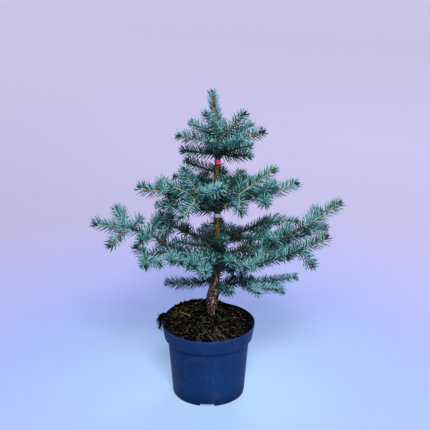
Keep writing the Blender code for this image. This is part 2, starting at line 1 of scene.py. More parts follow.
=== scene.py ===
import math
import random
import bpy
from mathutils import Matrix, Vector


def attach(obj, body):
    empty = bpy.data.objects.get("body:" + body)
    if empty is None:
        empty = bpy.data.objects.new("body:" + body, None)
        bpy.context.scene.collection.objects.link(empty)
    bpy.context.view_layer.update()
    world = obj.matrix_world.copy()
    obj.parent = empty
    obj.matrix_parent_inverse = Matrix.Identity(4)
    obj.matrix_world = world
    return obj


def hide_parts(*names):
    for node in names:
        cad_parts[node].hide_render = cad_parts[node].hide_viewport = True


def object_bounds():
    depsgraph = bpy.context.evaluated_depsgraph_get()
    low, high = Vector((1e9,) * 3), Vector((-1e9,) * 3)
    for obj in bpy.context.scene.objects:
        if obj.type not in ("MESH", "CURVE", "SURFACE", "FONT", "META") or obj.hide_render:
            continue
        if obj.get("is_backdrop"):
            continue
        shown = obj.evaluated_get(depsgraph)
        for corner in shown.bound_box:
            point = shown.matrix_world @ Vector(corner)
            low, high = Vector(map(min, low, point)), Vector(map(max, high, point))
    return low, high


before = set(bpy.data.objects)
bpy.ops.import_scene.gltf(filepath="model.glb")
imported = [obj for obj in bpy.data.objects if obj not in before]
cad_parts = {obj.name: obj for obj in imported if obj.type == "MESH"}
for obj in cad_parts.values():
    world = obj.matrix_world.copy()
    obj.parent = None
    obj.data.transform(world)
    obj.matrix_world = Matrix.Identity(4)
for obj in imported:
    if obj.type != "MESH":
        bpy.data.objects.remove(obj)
CAD_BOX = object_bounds()

# The looks of a young blue spruce in its nursery pot: needles, twigs, buds, bark, peat, pot and ties.
# Metres, +Z up, X to the plant's right as it is looked at, Y away from the looker. The origin is the middle
# of the pot's flat underside. A heading is a compass angle in degrees: 0 points along +X and 90 along +Y.

import zlib

import bpy
import numpy as np
from mathutils import Vector, noise

# What touching solids keep between them.
SEAT_GAP = 0.0003

# The pot: a five-litre nursery container with a deep collar and four drain channels under it.
POT_HEIGHT = 0.185
POT_SIDES = 180
RIM_RADIUS = 0.1125
RIM_LIP = 0.0008
WALL = 0.0016
COLLAR_FOOT_RADIUS = 0.1070
COLLAR_FOOT = 0.149
BODY_TOP_RADIUS = 0.0985
BODY_TOP = 0.142
FOOT_RADIUS = 0.0875
FOOT_ROUNDING = 0.0020
FLOOR = 0.0090
FILLET = 0.0012
DRAINS = 4
DRAIN_HEADING = 268
DRAIN_WIDTH = 0.034
DRAIN_HEIGHT = 0.0068
DRAIN_INNER_RADIUS = 0.042
DRAIN_HOLE_RADIUS = 0.006
DRAIN_HOLE_AT = 0.064
DRAIN_HOLE_SIDES = 32
WALL_STEP = 0.012
SHARP_ANGLE = 35

# The soil: heaped round the trunk, highest at the back left, low at the right, spilling over the rim.
SOIL_EDGE = 0.180
SOIL_PLATEAU = 0.024
SOIL_RINGS = 70
SOIL_SIDES = 160
MOUND_HEADING, MOUND_HEIGHT = 120, 0.014
HOLLOW_HEADING, HOLLOW_DEPTH = 350, 0.010
# Its lumps fade out over this stretch before the wall.
EDGE_FADE = 0.006
LUMP_HEIGHT, LUMP_SIZE = 0.0042, 0.011
# Peat banked against the trunk: place across and away from the trunk's middle, how high, how wide.
BANKS = ((-0.0155, -0.006, 0.0075, 0.009), (0.0165, -0.004, 0.0060, 0.009), (0.004, 0.018, 0.0060, 0.012))

# What lies scattered on the soil: how many, and from how small to how large.
CRUMBS, CRUMB_SIZES = 2600, (0.0007, 0.0021)
CLODS, CLOD_SIZES = 160, (0.0026, 0.0052)
FIBRES, FIBRE_LENGTHS, FIBRE_HALF_WIDTHS = 640, (0.004, 0.012), (0.00015, 0.0004)
DRY_NEEDLES, DRY_LENGTHS, DRY_HALF_WIDTH = 26, (0.010, 0.015), 0.00035

# Clods that stand up along the back edge: how many, the middle and spread of their headings, where they lie
# between the pot's middle and its wall, and their sizes.
EDGE_CLODS = 70
EDGE_CLOD_HEADINGS = (118, 24)
EDGE_CLOD_PLACES = (0.84, 0.97)
EDGE_CLOD_SIZES = (0.0018, 0.0056)

# The spill over the rim: its heading and radius, then steps of place out from the rim, drop from the crest
# and share of the radius.
SPILL_HEADING = 170
SPILL_RADIUS = 0.0065
SPILL_STEPS = (
    (-0.016, 0.010, 1.0),
    (-0.007, -0.001, 1.0),
    (0.001, -0.001, 0.9),
    (0.0075, 0.008, 0.9),
    (0.0068, 0.032, 0.4),
)
# Its shape and what stands out of it: blades of peat, crumbs and fibres.
SPILL_RINGS, SPILL_SIDES, SPILL_ROUGHNESS = 40, 14, (0.55, 0.95)
SPILL_BLADES, SPILL_CRUMBS, SPILL_FIBRES = 420, 260, 30
SPILL_CRUMB_SIZES = (0.0006, 0.0019)
SPILL_LENGTHS, SPILL_HALF_WIDTHS = (0.004, 0.014), (0.0003, 0.0007)

# Moss: where each patch lies, its radius and how many sprigs it has.
MOSS = (
    (-0.058, 0.050, 0.030, 64),
    (-0.078, 0.028, 0.020, 22),
    (-0.018, 0.048, 0.014, 26),
    (0.031, 0.042, 0.012, 16),
    (0.000, -0.020, 0.050, 34),
)
SPRIG_BLADES = 7
SPRIG_LENGTHS = (0.0020, 0.0046)
SPRIG_HALF_WIDTH, SPRIG_SPREAD, SPRIG_FOOT = 0.00042, 0.75, 0.0006

# Chips and sticks: where they lie, heading, rise, length, half width.
CHIPS = (
    (-0.031, 0.083, 40, 20, 0.010, 0.0026),
    (-0.062, 0.096, 130, 35, 0.008, 0.0020),
    (-0.040, 0.100, 70, 50, 0.009, 0.0016),
    (-0.018, 0.100, 20, 40, 0.008, 0.0020),
    (0.034, 0.098, 160, 25, 0.009, 0.0030),
    (0.060, 0.040, 250, 5, 0.007, 0.0008),
    (0.020, -0.050, 300, 8, 0.008, 0.0007),
    (-0.050, -0.050, 80, 8, 0.007, 0.0007),
)
STICK = ((-0.070, 0.034), (-0.045, 0.013))
STICK_RADII = (0.0011, 0.0022)
STICK_RINGS, STICK_SIDES = 16, 10
CHIP_RINGS, CHIP_SIDES = 7, 8

# Pale roots at the front right: how many, the stretch of headings that they reach the rim at, where they
# start and end between the pot's middle and its wall, and their radii. Every third one hangs over the rim.
ROOTS = 13
ROOT_HEADINGS = (258, 290)
ROOT_STARTS, ROOT_ENDS = (0.45, 0.80), (0.92, 1.00)
ROOT_STEPS, ROOT_SIDES = 14, 5
ROOT_RADII = (0.00042, 0.00024)
ROOT_LIFT = 0.0015
HANGING_EVERY = 3
HANGING_LENGTHS = (0.005, 0.012)

# The trunk, from the flat cut on the soil to its tip: height, place across, place away, radius.
TRUNK = (
    (0.193, 0.0075, 0.028, 0.0128),
    (0.200, 0.0080, 0.028, 0.0134),
    (0.225, 0.0100, 0.029, 0.0142),
    (0.252, 0.0130, 0.030, 0.0124),
    (0.272, 0.0170, 0.031, 0.0100),
    (0.292, 0.0200, 0.032, 0.0078),
    (0.345, 0.0222, 0.032, 0.0072),
    (0.425, 0.0203, 0.031, 0.0067),
    (0.475, 0.0217, 0.030, 0.0063),
    (0.555, 0.0198, 0.028, 0.0058),
    (0.604, 0.0240, 0.027, 0.0050),
    (0.635, 0.0270, 0.026, 0.0044),
    (0.690, 0.0190, 0.024, 0.0036),
    (0.747, 0.0088, 0.022, 0.0030),
    (0.754, 0.0080, 0.022, 0.0012),
)
SOIL_TOP = TRUNK[0][0] - SEAT_GAP

# The trunk's bark: scaly plates at the foot, and the pegs of old needles on the young wood above.
TRUNK_SIDES = 72
TRUNK_STEP = 0.001
TRUNK_FOOT = 0.184
PLATE_WIDTH, PLATE_HEIGHT = 0.0052, 0.0150
PLATE_DEPTH = 0.0018
PEG_DEPTH = 0.0005
FOOT_HEIGHTS, FOOT_SHARES = (0.192, 0.228), (0.84, 1.0)
OLD_BARK_TOP, YOUNG_BARK_FOOT = 0.285, 0.330
BARK_FADE_RADIUS = 0.004
CRACK_WIDTH = 0.22
# The pegs stand where two windings cross: turns round the trunk, and the height that each wave takes.
PEG_WINDINGS = ((5, 0.0085), (-8, 0.0062))

# Knots at the foot: height, heading, half width, half height, how deep.
KNOTS = (
    (0.245, 266, 0.0034, 0.0060, 0.0020),
    (0.257, 292, 0.0013, 0.0014, 0.0005),
    (0.205, 282, 0.0014, 0.0014, 0.0005),
    (0.222, 325, 0.0026, 0.0030, 0.0010),
    (0.236, 215, 0.0024, 0.0034, 0.0012),
    (0.228, 90, 0.0030, 0.0040, 0.0014),
)
# Painted shade down one side of the foot: its heading, how far it spreads in degrees, and how dark it is.
SIDE_SHADE_HEADING, SIDE_SHADE_SPREAD, PAINTED_SIDE_SHADE = 190, 34, 0.62

# Swellings of the foot: height, heading, half angle, half height, how far out.
FOOT_SWELLINGS = ((0.235, 195, 60, 0.026, 0.0034), (0.200, 350, 60, 0.010, -0.0026))
# The collars where boughs leave: half angle, half height, how far out, and how far above the bough.
BOUGH_COLLAR = (42, 0.0060, 0.0016)
COLLAR_RISE = 0.001

# The ties: height, tape width, lean in degrees, tape.
TIES = {"tie_upper": (0.580, 0.012, 0, "pink_tape"), "tie_lower": (0.448, 0.009, 8, "pale_tape")}
TIE_SLACK = 0.0008
TAPE_THICKNESS = 0.0004
TAPE_TURNS, TAPE_STEPS = 2.3, 150
# Where it has points across its width, as shares of half of it.
TAPE_SHARES = (-1, -0.5, 0, 0.5, 1)
# How far out each turn lies, in thicknesses, how deep its creases and its wave are, and over what angle and
# how far its end lifts.
TAPE_WINDING = 1.6
TAPE_CREASE, TAPE_WAVE = 0.00012, 0.0009
TAPE_END_ANGLE, TAPE_END_LIFT = 0.8, 0.0030

# Boughs: height on the trunk, heading, rise, and length to the fork inside the foliage.
BOUGHS = {
    "middle_front_left": (0.466, 238, 34, 0.098),
    "middle_left": (0.478, 185, 15, 0.119),
    "middle_front_right": (0.468, 310, 34, 0.094),
    "middle_right": (0.482, 0, 9, 0.107),
    "middle_back_left": (0.487, 120, 12, 0.095),
    "middle_back_right": (0.492, 62, 8, 0.095),
    "lower_left": (0.338, 200, 22, 0.135),
    "lower_front_left": (0.320, 205, 26, 0.136),
    "lower_right": (0.348, 346, 18, 0.144),
    "lower_front_right": (0.330, 341, 16, 0.140),
    "lower_back_left": (0.376, 157, 13, 0.120),
    "lower_back_right": (0.384, 24, 13, 0.120),
    "lower_back": (0.354, 88, 2, 0.110),
    "bottom_right": (0.256, 352, 21, 0.069),
}
BOUGH_SHARE = 0.55

# Foliage. Each mass sits on the bough of its name or at a height on the trunk. Then come its main shoots:
# what each grows from (0 is the bough or trunk, 1 the first shoot), how far along, heading, rise and length.
FOLIAGE = {
    "top_1": (0.640, ((0, 1, 237, 50, 0.086),)),
    "top_2": (0.636, ((0, 1, 326, 46, 0.092),)),
    "top_3": (0.628, ((0, 1, 340, 18, 0.108),)),
    "top_4": (0.636, ((0, 1, 43, 9, 0.096),)),
    "top_5": (0.620, ((0, 1, 302, 19, 0.096),)),
    "top_6": (0.628, ((0, 1, 196, 13, 0.096),)),
    "top_7": (0.638, ((0, 1, 134, 11, 0.093),)),
    "top_8": (0.643, ((0, 1, 88, 8, 0.085),)),
    "upper_1": (0.603, ((0, 1, 325, 19, 0.088),)),
    "upper_2": (0.600, ((0, 1, 18, -9, 0.077),)),
    "upper_3": (0.607, ((0, 1, 254, 28, 0.092),)),
    "upper_4": (0.602, ((0, 1, 171, 1, 0.081),)),
    "upper_5": (0.606, ((0, 1, 98, 12, 0.082),)),
    "inner_1": (0.557, ((0, 1, 138, 3, 0.092),)),
    "inner_2": (0.552, ((0, 1, 72, -16, 0.050),)),
    "middle_front_left": ("bough", ((0, 1, 224, 59, 0.082), (0, 1, 238, -23, 0.077), (0, 1, 180, 20, 0.065),
                                    (0, 1, 300, 24, 0.112))),
    "middle_left": ("bough", ((0, 1, 180, 9, 0.066), (0, 1, 109, 7, 0.064), (0, 1, 274, -31, 0.047))),
    "middle_front_right": ("bough", ((0, 1, 353, 38, 0.098), (0, 1, 20, 5, 0.088), (0, 1, 272, -21, 0.064),
                                     (0, 1, 86, 36, 0.060))),
    "middle_right": ("bough", ((0, 1, 0, 19, 0.084), (0, 1, 272, 2, 0.070), (0, 1, 62, 8, 0.060))),
    "middle_back_left": ("bough", ((0, 1, 122, 3, 0.068), (0, 1, 172, 6, 0.055), (0, 1, 74, -5, 0.060),
                                   (0, 0.2, 78, 2, 0.045))),
    "middle_back_right": ("bough", ((0, 1, 58, -12, 0.066), (0, 1, 14, -2, 0.055), (0, 1, 104, -16, 0.058),
                                    (1, 0.5, 98, -8, 0.036))),
    "middle_low": (0.460, ((0, 1, 176, 4, 0.138),)),
    "middle_front": (0.486, ((0, 1, 281, 42, 0.110),)),
    "lower_left": ("bough", ((0, 1, 193, 37, 0.056), (1, 1, 192, 21, 0.052), (2, 1, 180, 7, 0.074),
                             (2, 1, 113, 20, 0.069), (2, 1, 236, -23, 0.065), (1, 1, 70, 16, 0.075),
                             (1, 1, 258, 2, 0.060), (2, 0.85, 45, 25, 0.034))),
    "lower_front_left": ("bough", ((0, 1, 218, 1, 0.066), (1, 1, 271, 2, 0.060), (1, 1, 160, 35, 0.030),
                                   (0, 1, 275, 4, 0.080))),
    "lower_right": ("bough", ((0, 1, 352, 31, 0.080), (1, 1, 0, 36, 0.098), (1, 1, 51, 28, 0.058),
                              (1, 1, 50, -18, 0.094), (0, 1, 258, 24, 0.078), (0, 1, 112, 2, 0.055))),
    "lower_front_right": ("bough", ((0, 1, 341, 15, 0.074), (1, 1, 0, 28, 0.063), (1, 1, 298, -27, 0.052),
                                    (0, 1, 30, 20, 0.050))),
    "lower_back_left": ("bough", ((0, 1, 160, 6, 0.040), (0, 1, 250, -5, 0.055), (0, 1, 100, 4, 0.060),
                                  (1, 0.6, 118, -16, 0.040))),
    "lower_back_right": ("bough", ((0, 1, 24, 14, 0.030), (1, 1, 8, -11, 0.060), (1, 1, 50, 8, 0.022),
                                   (0, 1, 62, -16, 0.050))),
    "lower_back": ("bough", ((0, 1, 90, 4, 0.085), (0, 1, 44, -6, 0.070), (0, 1, 132, -10, 0.070),
                             (1, 0.5, 48, -14, 0.050), (1, 0.5, 134, -12, 0.050), (0, 0.2, 18, 2, 0.052),
                             (0, 0.2, 160, 0, 0.052))),
    "lower_front": (0.357, ((0, 1, 249, 11, 0.112), (1, 1, 247, 6, 0.066), (1, 1, 278, 2, 0.090),
                            (1, 0.5, 200, 8, 0.055))),
    "lower_front_low": (0.322, ((0, 1, 313, 17, 0.133), (1, 1, 346, 23, 0.112), (1, 1, 244, 14, 0.057),
                                (1, 1, 20, 44, 0.046))),
    "lower_front_short": (0.364, ((0, 1, 285, 6, 0.128),)),
    "lower_left_short": (0.367, ((0, 1, 200, 15, 0.104),)),
    "lower_front_high": (0.377, ((0, 1, 279, 24, 0.114),)),
    "bottom_right": ("bough", ((0, 1, 351, 9, 0.130), (0, 1, 319, 5, 0.105), (0, 1, 296, 4, 0.090),
                               (0, 1, 80, 35, 0.038), (1, 0.55, 305, -12, 0.046))),
    "bottom_left": (0.281, ((0, 1, 180, -4, 0.116),)),
    "bottom_front": (0.264, ((0, 1, 298, 11, 0.080), (1, 0.3, 28, 30, 0.045))),
    "bottom_back": (0.260, ((0, 1, 95, 8, 0.115), (1, 0.55, 140, 6, 0.055), (1, 0.6, 45, 6, 0.055))),
}

# The rule for side twigs: short ones that stand out from a stem, by turns to its left and its right.
SHOOT_BOW = 0.03
NEEDLE_ROW = 0.0105
TWIG_SPACING = 0.030
TWIG_STAGGER = (0.5, 0.9)
TWIG_LAST = 0.9
TWIG_LENGTHS = (0.030, 0.042)
TWIG_SPREAD = (42, 62)
TWIG_RISES = (-8, 14)
TWIG_ROOM = 0.013

# The same rule carried on to finer twigs: on wood that is two years old, and on the boughs deep in the crown.
# Some masses show bare stems, so they have none, and some stems are as old as the bough that they carry on.
FINE_SPACING = 0.016
FINE_LENGTHS = (0.018, 0.034)
FINE_ROOM = 0.0115
BARE_STEMS = {"lower_left", "lower_front_left", "middle_back_right", "bottom_right", "lower_right"}
OLD_STEMS = {("lower_left", 0), ("lower_front_left", 0), ("lower_right", 0)}
OLD_STEM_THINNING = 0.80
INNER_SPAN = (0.16, 0.55)
INNER_ROOM = 0.0085

# Further twigs at the forks, where the photograph shows the crown filled: which bough they grow on, how far
# along it, heading, rise, length and shade.
FORK_TWIGS = (
    ("lower_back_right", 0.24, 352, 3, 0.118, 0.6),
    ("lower_right", 0.42, 50, 22, 0.066, 0.2),
    ("lower_right", 1.00, 62, 6, 0.080, -0.6),
    ("lower_right", 0.75, 40, 12, 0.070, -0.5),
    ("lower_right", 1.12, 15, 4, 0.062, -0.7),
    ("lower_front_left", 1.00, 293, -4, 0.070, 0.2),
    ("lower_front_left", 1.45, 307, -4, 0.052, 0.2),
)
# Past 1 they grow on the mass's first shoot, and this much further is its tip.
FIRST_SHOOT_SHARE = 0.45

# Shoots that are bare from the foot, by mass and number: how far. One is a bare stub.
BARE_FEET = {
    ("lower_back_right", 3): 1.0,
    ("lower_front_left", 4): 0.40,
    ("lower_front_left", 6): 0.40,
    ("lower_front_left", 7): 0.30,
}

# Wood: the step along a run, how far it wanders from its bow, the length from which it wanders in full, and
# by age in years its radii, sides and roughness.
PATH_STEP = 0.002
WANDER, WANDER_LENGTH = 0.0011, 0.06
WOOD_RADII = {1: (0.0019, 0.0014), 2: (0.0030, 0.0022), 3: (0.0044, 0.0030)}
WOOD_SIDES = {1: 8, 2: 12, 3: 24}
WOOD_ROUGHNESS = {1: 0.10, 2: 0.10, 3: 0.09}
COLLAR_SWELL, COLLAR_LENGTH = 0.55, 0.006

# Needles by the age of the wood that bears them: how many to a metre, length, lean from the shoot in degrees.
NEEDLES = {1: (1620, 0.0220, 59), 2: (1400, 0.0200, 62), 3: (1050, 0.0180, 66)}
NEEDLE_HALF_WIDTH = 0.00098
NEEDLE_SIZES, NEEDLE_WIDTHS = (0.82, 1.10), (0.85, 1.15)
THIN_WOOD = 0.0032
NEEDLE_SPREAD = 0.065
NEEDLE_CROWDING = 0.30
NEEDLE_PARTING = 0.20
NEEDLE_SWEEP = 0.05
# Along a shoot that ends in a bud: shares of its length, then the needles' shares of their lean or length.
LEAN_ALONG = ((0, 0.10, 0.86, 1), (1.15, 1, 0.95, 0.66))
SIZE_ALONG = ((0, 0.12, 0.80, 1), (0.72, 1, 1, 0.74))
# Needles are longest in the middle of the crown: heights, and the share of their length at each.
LENGTH_HEIGHTS = (0.30, 0.35, 0.44, 0.50, 0.58, 0.64, 0.74)
LENGTH_SHARES = (0.86, 1.00, 1.00, 1.14, 1.04, 0.98, 0.94)
MASS_LENGTHS = {
    "middle_back_right": 0.75, "middle_back_left": 0.80, "lower_back_right": 0.78, "lower_back": 0.85,
    "lower_left": 1.06, "lower_front_right": 1.12, "middle_front_left": 1.10, "lower_right": 1.04,
    "top_1": 1.10, "top_2": 1.10, "top_3": 1.08, "top_4": 1.10, "top_6": 1.08,
    "bottom_right": 0.96, "bottom_left": 1.15,
}
# Twigs show along the side that faces the front: its heading and rise, its half angle, how square to it a
# twig stands at least, how far it leads away at most, and the share of the needles left out.
BARE_SIDE = (270, 20)
BARE_ANGLE, BARE_SQUARENESS, BARE_LEADING = 34, 0.55, 0.3
BARE_SHARE, LEADER_BARE_SHARE = 0.72, 0.45
# Shoots darker than this keep their needles there, and so do these, by mass and number.
BARE_TONE = -0.6
FULL_SHOOTS = {
    ("top_4", 1), ("top_7", 1), ("upper_1", 1), ("upper_2", 1), ("upper_4", 1),
    ("middle_right", 2), ("middle_left", 3), ("middle_back_right", 3), ("middle_low", 1),
    ("lower_left", 4), ("lower_left", 8), ("lower_left_short", 1), ("lower_front_low", 2),
    ("lower_right", 3), ("lower_right", 5), ("lower_right", 6), ("lower_right", 7), ("lower_right", 8),
    ("lower_right", 9), ("lower_right", 11),
    ("lower_back_right", 3), ("lower_back_right", 6), ("lower_back_right", 8),
    ("bottom_right", 1), ("bottom_right", 2), ("bottom_right", 3), ("bottom_right", 4), ("bottom_right", 5),
    ("bottom_left", 1),
}
# Twigs deep in the crown: needles to a metre, length, lean.
INNER_NEEDLES = (800, 0.0185, 60)
GOLDEN_ANGLE = math.pi * (3 - math.sqrt(5))
# The tuft round an end bud: needles, length and spread of lengths, leans, how far down the shoot it starts,
# how far off the middle, how it bends in, and how far towards the front it reaches where it is open.
TUFT_NEEDLES = 18
TUFT_LENGTH, TUFT_SIZES = 0.0165, (0.80, 1.15)
TUFT_LEANS = (20, 62)
TUFT_DEPTH, TUFT_OFFSET, TUFT_BEND = 0.003, 0.0011, -0.10
TUFT_OPENING = 0.6
# Blades, which needles and fibres are: where along them they have a ring, its width, and how thick they are.
BLADE_RINGS = (0.0, 0.6)
BLADE_WIDTHS = (0.85, 1.00)
BLADE_THICKNESS = 0.85

# The leader: where its needles start, where its bud sits, and its needles.
LEADER_FOOT, LEADER_TIP = 0.648, 0.743
LEADER_NEEDLES = (2300, 0.0185, 50)

# Old needles on the trunk: from and to a height, how many to a metre, length, lean in degrees.
TRUNK_NEEDLES = (
    (0.266, 0.330, 1300, 0.014, 68),
    (0.345, 0.438, 1400, 0.016, 60),
    (0.452, 0.494, 3400, 0.020, 44),
    (0.494, 0.545, 1500, 0.015, 58),
    (0.545, 0.572, 1700, 0.016, 58),
    (0.586, 0.618, 3200, 0.015, 46),
    (0.618, 0.648, 1700, 0.016, 56),
)

# Buds: length at a shoot's end, beside it, and along it, and how plump they are.
BUD_LENGTHS = (0.0108, 0.0086, 0.0042)
BUD_PLUMPNESS = 0.26
BUD_RINGS = BUD_SIDES = 8
BUD_RELIEF, BUD_ROUGHNESS = 0.13, 0.03
# How many sit beside the end bud and along the shoot, at most one fewer than the second number, and where.
BUDS_BESIDE, BESIDE_PLACES = (2, 4), (0.93, 0.99)
BUDS_ALONG, ALONG_PLACES = (0, 3), (0.35, 0.85)

# Needle tints from the darkest to the palest, which paint light and shade into one needle colour: base colour
# and roughness. The last is the green of new growth.
TINTS = {
    "shade": ((0.006, 0.026, 0.022), 0.60),
    "deep": ((0.012, 0.088, 0.078), 0.55),
    "teal": ((0.026, 0.160, 0.150), 0.50),
    "blue": ((0.066, 0.228, 0.250), 0.46),
    "silver": ((0.166, 0.346, 0.396), 0.44),
    "fresh": ((0.095, 0.260, 0.205), 0.46),
}
PALEST = 4

# How pale a needle is, on the scale of the tints, mostly painted light and shade: at an even middle, paler
# above its shoot than below it, darker deep in the crown than outside, with less of that darkness at the
# sunlit top, and by chance from shoot to shoot and from needle to needle.
MIDDLE_SHADE = 2.15
LEADER_SHADE = 3.5
OLD_SHADE = 2.2
UPPER_SHADE = 0.95
INNER_SHADE = -3.4
INNER_REACH = (0.035, 0.120)
SUNLIT_HEIGHTS = (0.600, 0.650)
SHOOT_VARIETY = 0.45
NEEDLE_VARIETY = 1.95
SHADE_THINNING = 0.07
# Side twigs get painted shade, and needles on older wood are darker.
TWIG_SHADE = -0.6
AGE_SHADE = {1: 0.0, 2: -1.6, 3: -2.2}

# Masses that are paler or darker than the rest, and shoots, by mass and number: painted light and painted
# shade, by how lit each part stands in the crown.
MASS_SHADES = {
    "top_1": 0.1, "top_2": -0.1, "top_4": -0.5, "top_6": 0.1,
    "upper_1": 0.4, "upper_2": 0.6, "upper_4": 0.2, "upper_5": -0.8, "inner_1": -1.9, "inner_2": -1.7,
    "middle_right": 0.6, "middle_front_left": 0.6, "middle_front": 0.5, "middle_front_right": 0.5,
    "middle_back_right": -0.4,
    "lower_left": -0.55, "lower_left_short": -0.4, "lower_front_left": 0.1, "lower_front": 0.3,
    "lower_front_low": 0.3, "lower_front_short": -0.1, "lower_front_high": -0.5,
    "lower_back": -0.8, "lower_back_left": -1.0, "lower_back_right": -0.6,
    "bottom_left": 1.6, "bottom_right": 0.9, "bottom_front": 0.3, "bottom_back": -0.9,
}
SHOOT_SHADES = {
    ("lower_left", 6): -1.6, ("lower_left", 8): -0.3, ("lower_front_left", 1): -1.2,
    ("lower_right", 4): -0.3, ("lower_right", 5): -1.2, ("lower_right", 6): -1.2,
    ("middle_left", 2): -0.4, ("middle_back_left", 4): -0.8,
    ("middle_right", 0): 0.6, ("middle_right", 2): -0.7,
    ("bottom_right", 1): 0.4, ("bottom_right", 2): -0.4, ("lower_front_low", 2): -0.3,
    ("lower_back_right", 1): 0.5, ("lower_back_right", 2): 0.6, ("lower_back_right", 8): 0.8,
}
# New green growth: from how far along a shoot, and on which shoots.
FRESH_FROM = 0.5
FRESH_SHOOTS = {("middle_front_right", 1), ("lower_front_right", 2), ("lower_right", 2)}

# Finishes of two colours in patches: the darker, the paler, roughness, and how many patches to a metre.
FINISHES = {
    "stem_bark": ((0.014, 0.010, 0.006), (0.056, 0.039, 0.023), 0.75, 240.0),
    "bough_bark": ((0.009, 0.006, 0.005), (0.040, 0.024, 0.018), 0.80, 220.0),
    "bud_scales": ((0.004, 0.003, 0.003), (0.046, 0.025, 0.011), 0.50, 420.0),
    "peat": ((0.0002, 0.0002, 0.0003), (0.0074, 0.0064, 0.0058), 0.95, 170.0),
    "peat_fibre": ((0.008, 0.007, 0.006), (0.150, 0.142, 0.118), 0.80, 110.0),
    "dry_needles": ((0.070, 0.050, 0.026), (0.210, 0.155, 0.085), 0.70, 150.0),
    "moss": ((0.004, 0.007, 0.002), (0.085, 0.090, 0.012), 0.80, 120.0),
    "bark_chip": ((0.110, 0.060, 0.028), (0.380, 0.230, 0.110), 0.75, 160.0),
    "pale_root": ((0.020, 0.018, 0.016), (0.205, 0.184, 0.172), 0.65, 90.0),
}
TAPES = {
    "pink_tape": ((0.460, 0.022, 0.120), (0.560, 0.050, 0.180)),
    "pale_tape": ((0.330, 0.440, 0.580), (0.520, 0.640, 0.780)),
}

# Twigs are pale tan between two heights, and darker above and below: where each change starts and ends.
PALE_TWIGS = ((0.180, 0.148, 0.078), (0.380, 0.320, 0.190))
DARK_TWIGS = ((0.090, 0.078, 0.036), (0.230, 0.195, 0.100))
TWIG_CHANGES = ((0.43, 0.47, PALE_TWIGS), (0.56, 0.60, DARK_TWIGS))

# The trunk's colours: at the foot from low to high on its plates, the palest plates, pale specks, the young
# wood's darker and paler patches, and the dark of knots and flecks, which also paints shade into the cracks,
# the hollows between pegs and one side of the foot.
FOOT_BARK = ((0.010, 0.006, 0.007), (0.096, 0.058, 0.052))
PALE_PLATE, PALE_SPECK = (0.350, 0.215, 0.150), (0.420, 0.285, 0.245)
YOUNG_BARK = ((0.056, 0.032, 0.009), (0.210, 0.128, 0.034))
BARK_SHADE_AND_DARK = (0.010, 0.006, 0.005)

# The pot's colours: cloudy plastic, dust with painted light near the rim, a foot darkened by painted shade,
# scratches, smears, and the inside.
POT_PLASTIC = ((0.0022, 0.018, 0.078), (0.0046, 0.030, 0.110))
# Dust near the rim, with painted light that makes the collar paler: colour, how far down it reaches, how
# strong.
POT_DUST_AND_LIGHT, DUST_AND_LIGHT_HEIGHT, DUST_AND_LIGHT_SHARE = (0.016, 0.062, 0.200), 0.008, 0.30
# Painted shade that darkens the foot: colour, the height where it starts, how strong it is at the bottom.
POT_FOOT_SHADE, FOOT_SHADE_TOP, FOOT_SHADE_SHARE = (0.0006, 0.0080, 0.0360), 0.042, 0.9
POT_SCRATCH, POT_SMEAR, POT_INSIDE = (0.080, 0.120, 0.230), (0.030, 0.042, 0.080), (0.005, 0.005, 0.006)
POT_SHEEN = {"Sheen Weight": 0.06, "Sheen Roughness": 0.3, "Sheen Tint": (0.12, 0.35, 1.0, 1)}

# The camera, as the photograph was taken.
CAMERA_PLACE = (0.0160, -2.2, 1.2628)
CAMERA_PITCH = 20.07
CAMERA_LENS = 84.14
CAMERA_SENSOR = 36

# The floor: its radius, and its colours near the pot and away from it, between two distances.
FLOOR_RADIUS, FLOOR_THICKNESS, FLOOR_SIDES = 40.0, 0.01, 96
NEAR_FLOOR, FAR_FLOOR = (0.170, 0.245, 0.380), (0.330, 0.300, 0.480)
FLOOR_CHANGE = (0.4, 1.2)
# The floor's own faint light, by the distance from the pot: it evens out the lamps, which fade with distance.
GLOW_REACH = 8.0
GLOW_STOPS = (
    (0.1, (0.216, 0.336, 0.495)),
    (0.6, (0.152, 0.168, 0.455)),
    (1.3, (0.178, 0.172, 0.260)),
    (4.0, (0.470, 0.434, 0.630)),
    (7.0, (0.560, 0.510, 0.710)),
)
WORLD_COLOUR, WORLD_STRENGTH = (0.800, 0.880, 0.940), 0.16
# Lamps: place, how wide, power, colour.
LAMPS = (
    ((0.3, -2.9, 3.2), 1.2, 262, (1.0, 0.98, 0.96)),
    ((2.4, -1.8, 1.6), 2.0, 24, (0.92, 0.95, 1.0)),
    ((0.6, 2.4, 2.6), 1.8, 48, (0.95, 0.97, 1.0)),
)
LAMP_TARGET = (0, 0, 0.35)


# Directions, paths and distances

def unit(vectors):
    return vectors / np.linalg.norm(vectors, axis=-1, keepdims=True)


def heading_vector(heading, rise=0.0):
    """The unit vector along a compass heading and a rise above the level, both in degrees."""
    turn, lift = math.radians(heading), math.radians(rise)
    return np.array([math.cos(turn) * math.cos(lift), math.sin(turn) * math.cos(lift), math.sin(lift)])


def trunk_at(height):
    """The middle of the trunk at a height."""
    heights, across, away, _ = zip(*TRUNK)
    return np.array([np.interp(height, heights, across), np.interp(height, heights, away), height])


def trunk_radius(height):
    heights, _, _, radii = zip(*TRUNK)
    return np.interp(height, heights, radii)


def bowed_path(start, heading, rise, length, shares):
    """Places along a run between its two ends that hangs a little below the straight line."""
    share = np.asarray(shares)[:, None]
    hang = SHOOT_BOW * length * 4 * share * (1 - share)
    return start + share * length * heading_vector(heading, rise) - hang * np.array([0, 0, 1])


def rows_in(length):
    return max(3, round(length / NEEDLE_ROW))


def point_along(path, share):
    place = share * (len(path) - 1)
    low = min(int(place), len(path) - 2)
    return path[low] + (place - low) * (path[low + 1] - path[low])


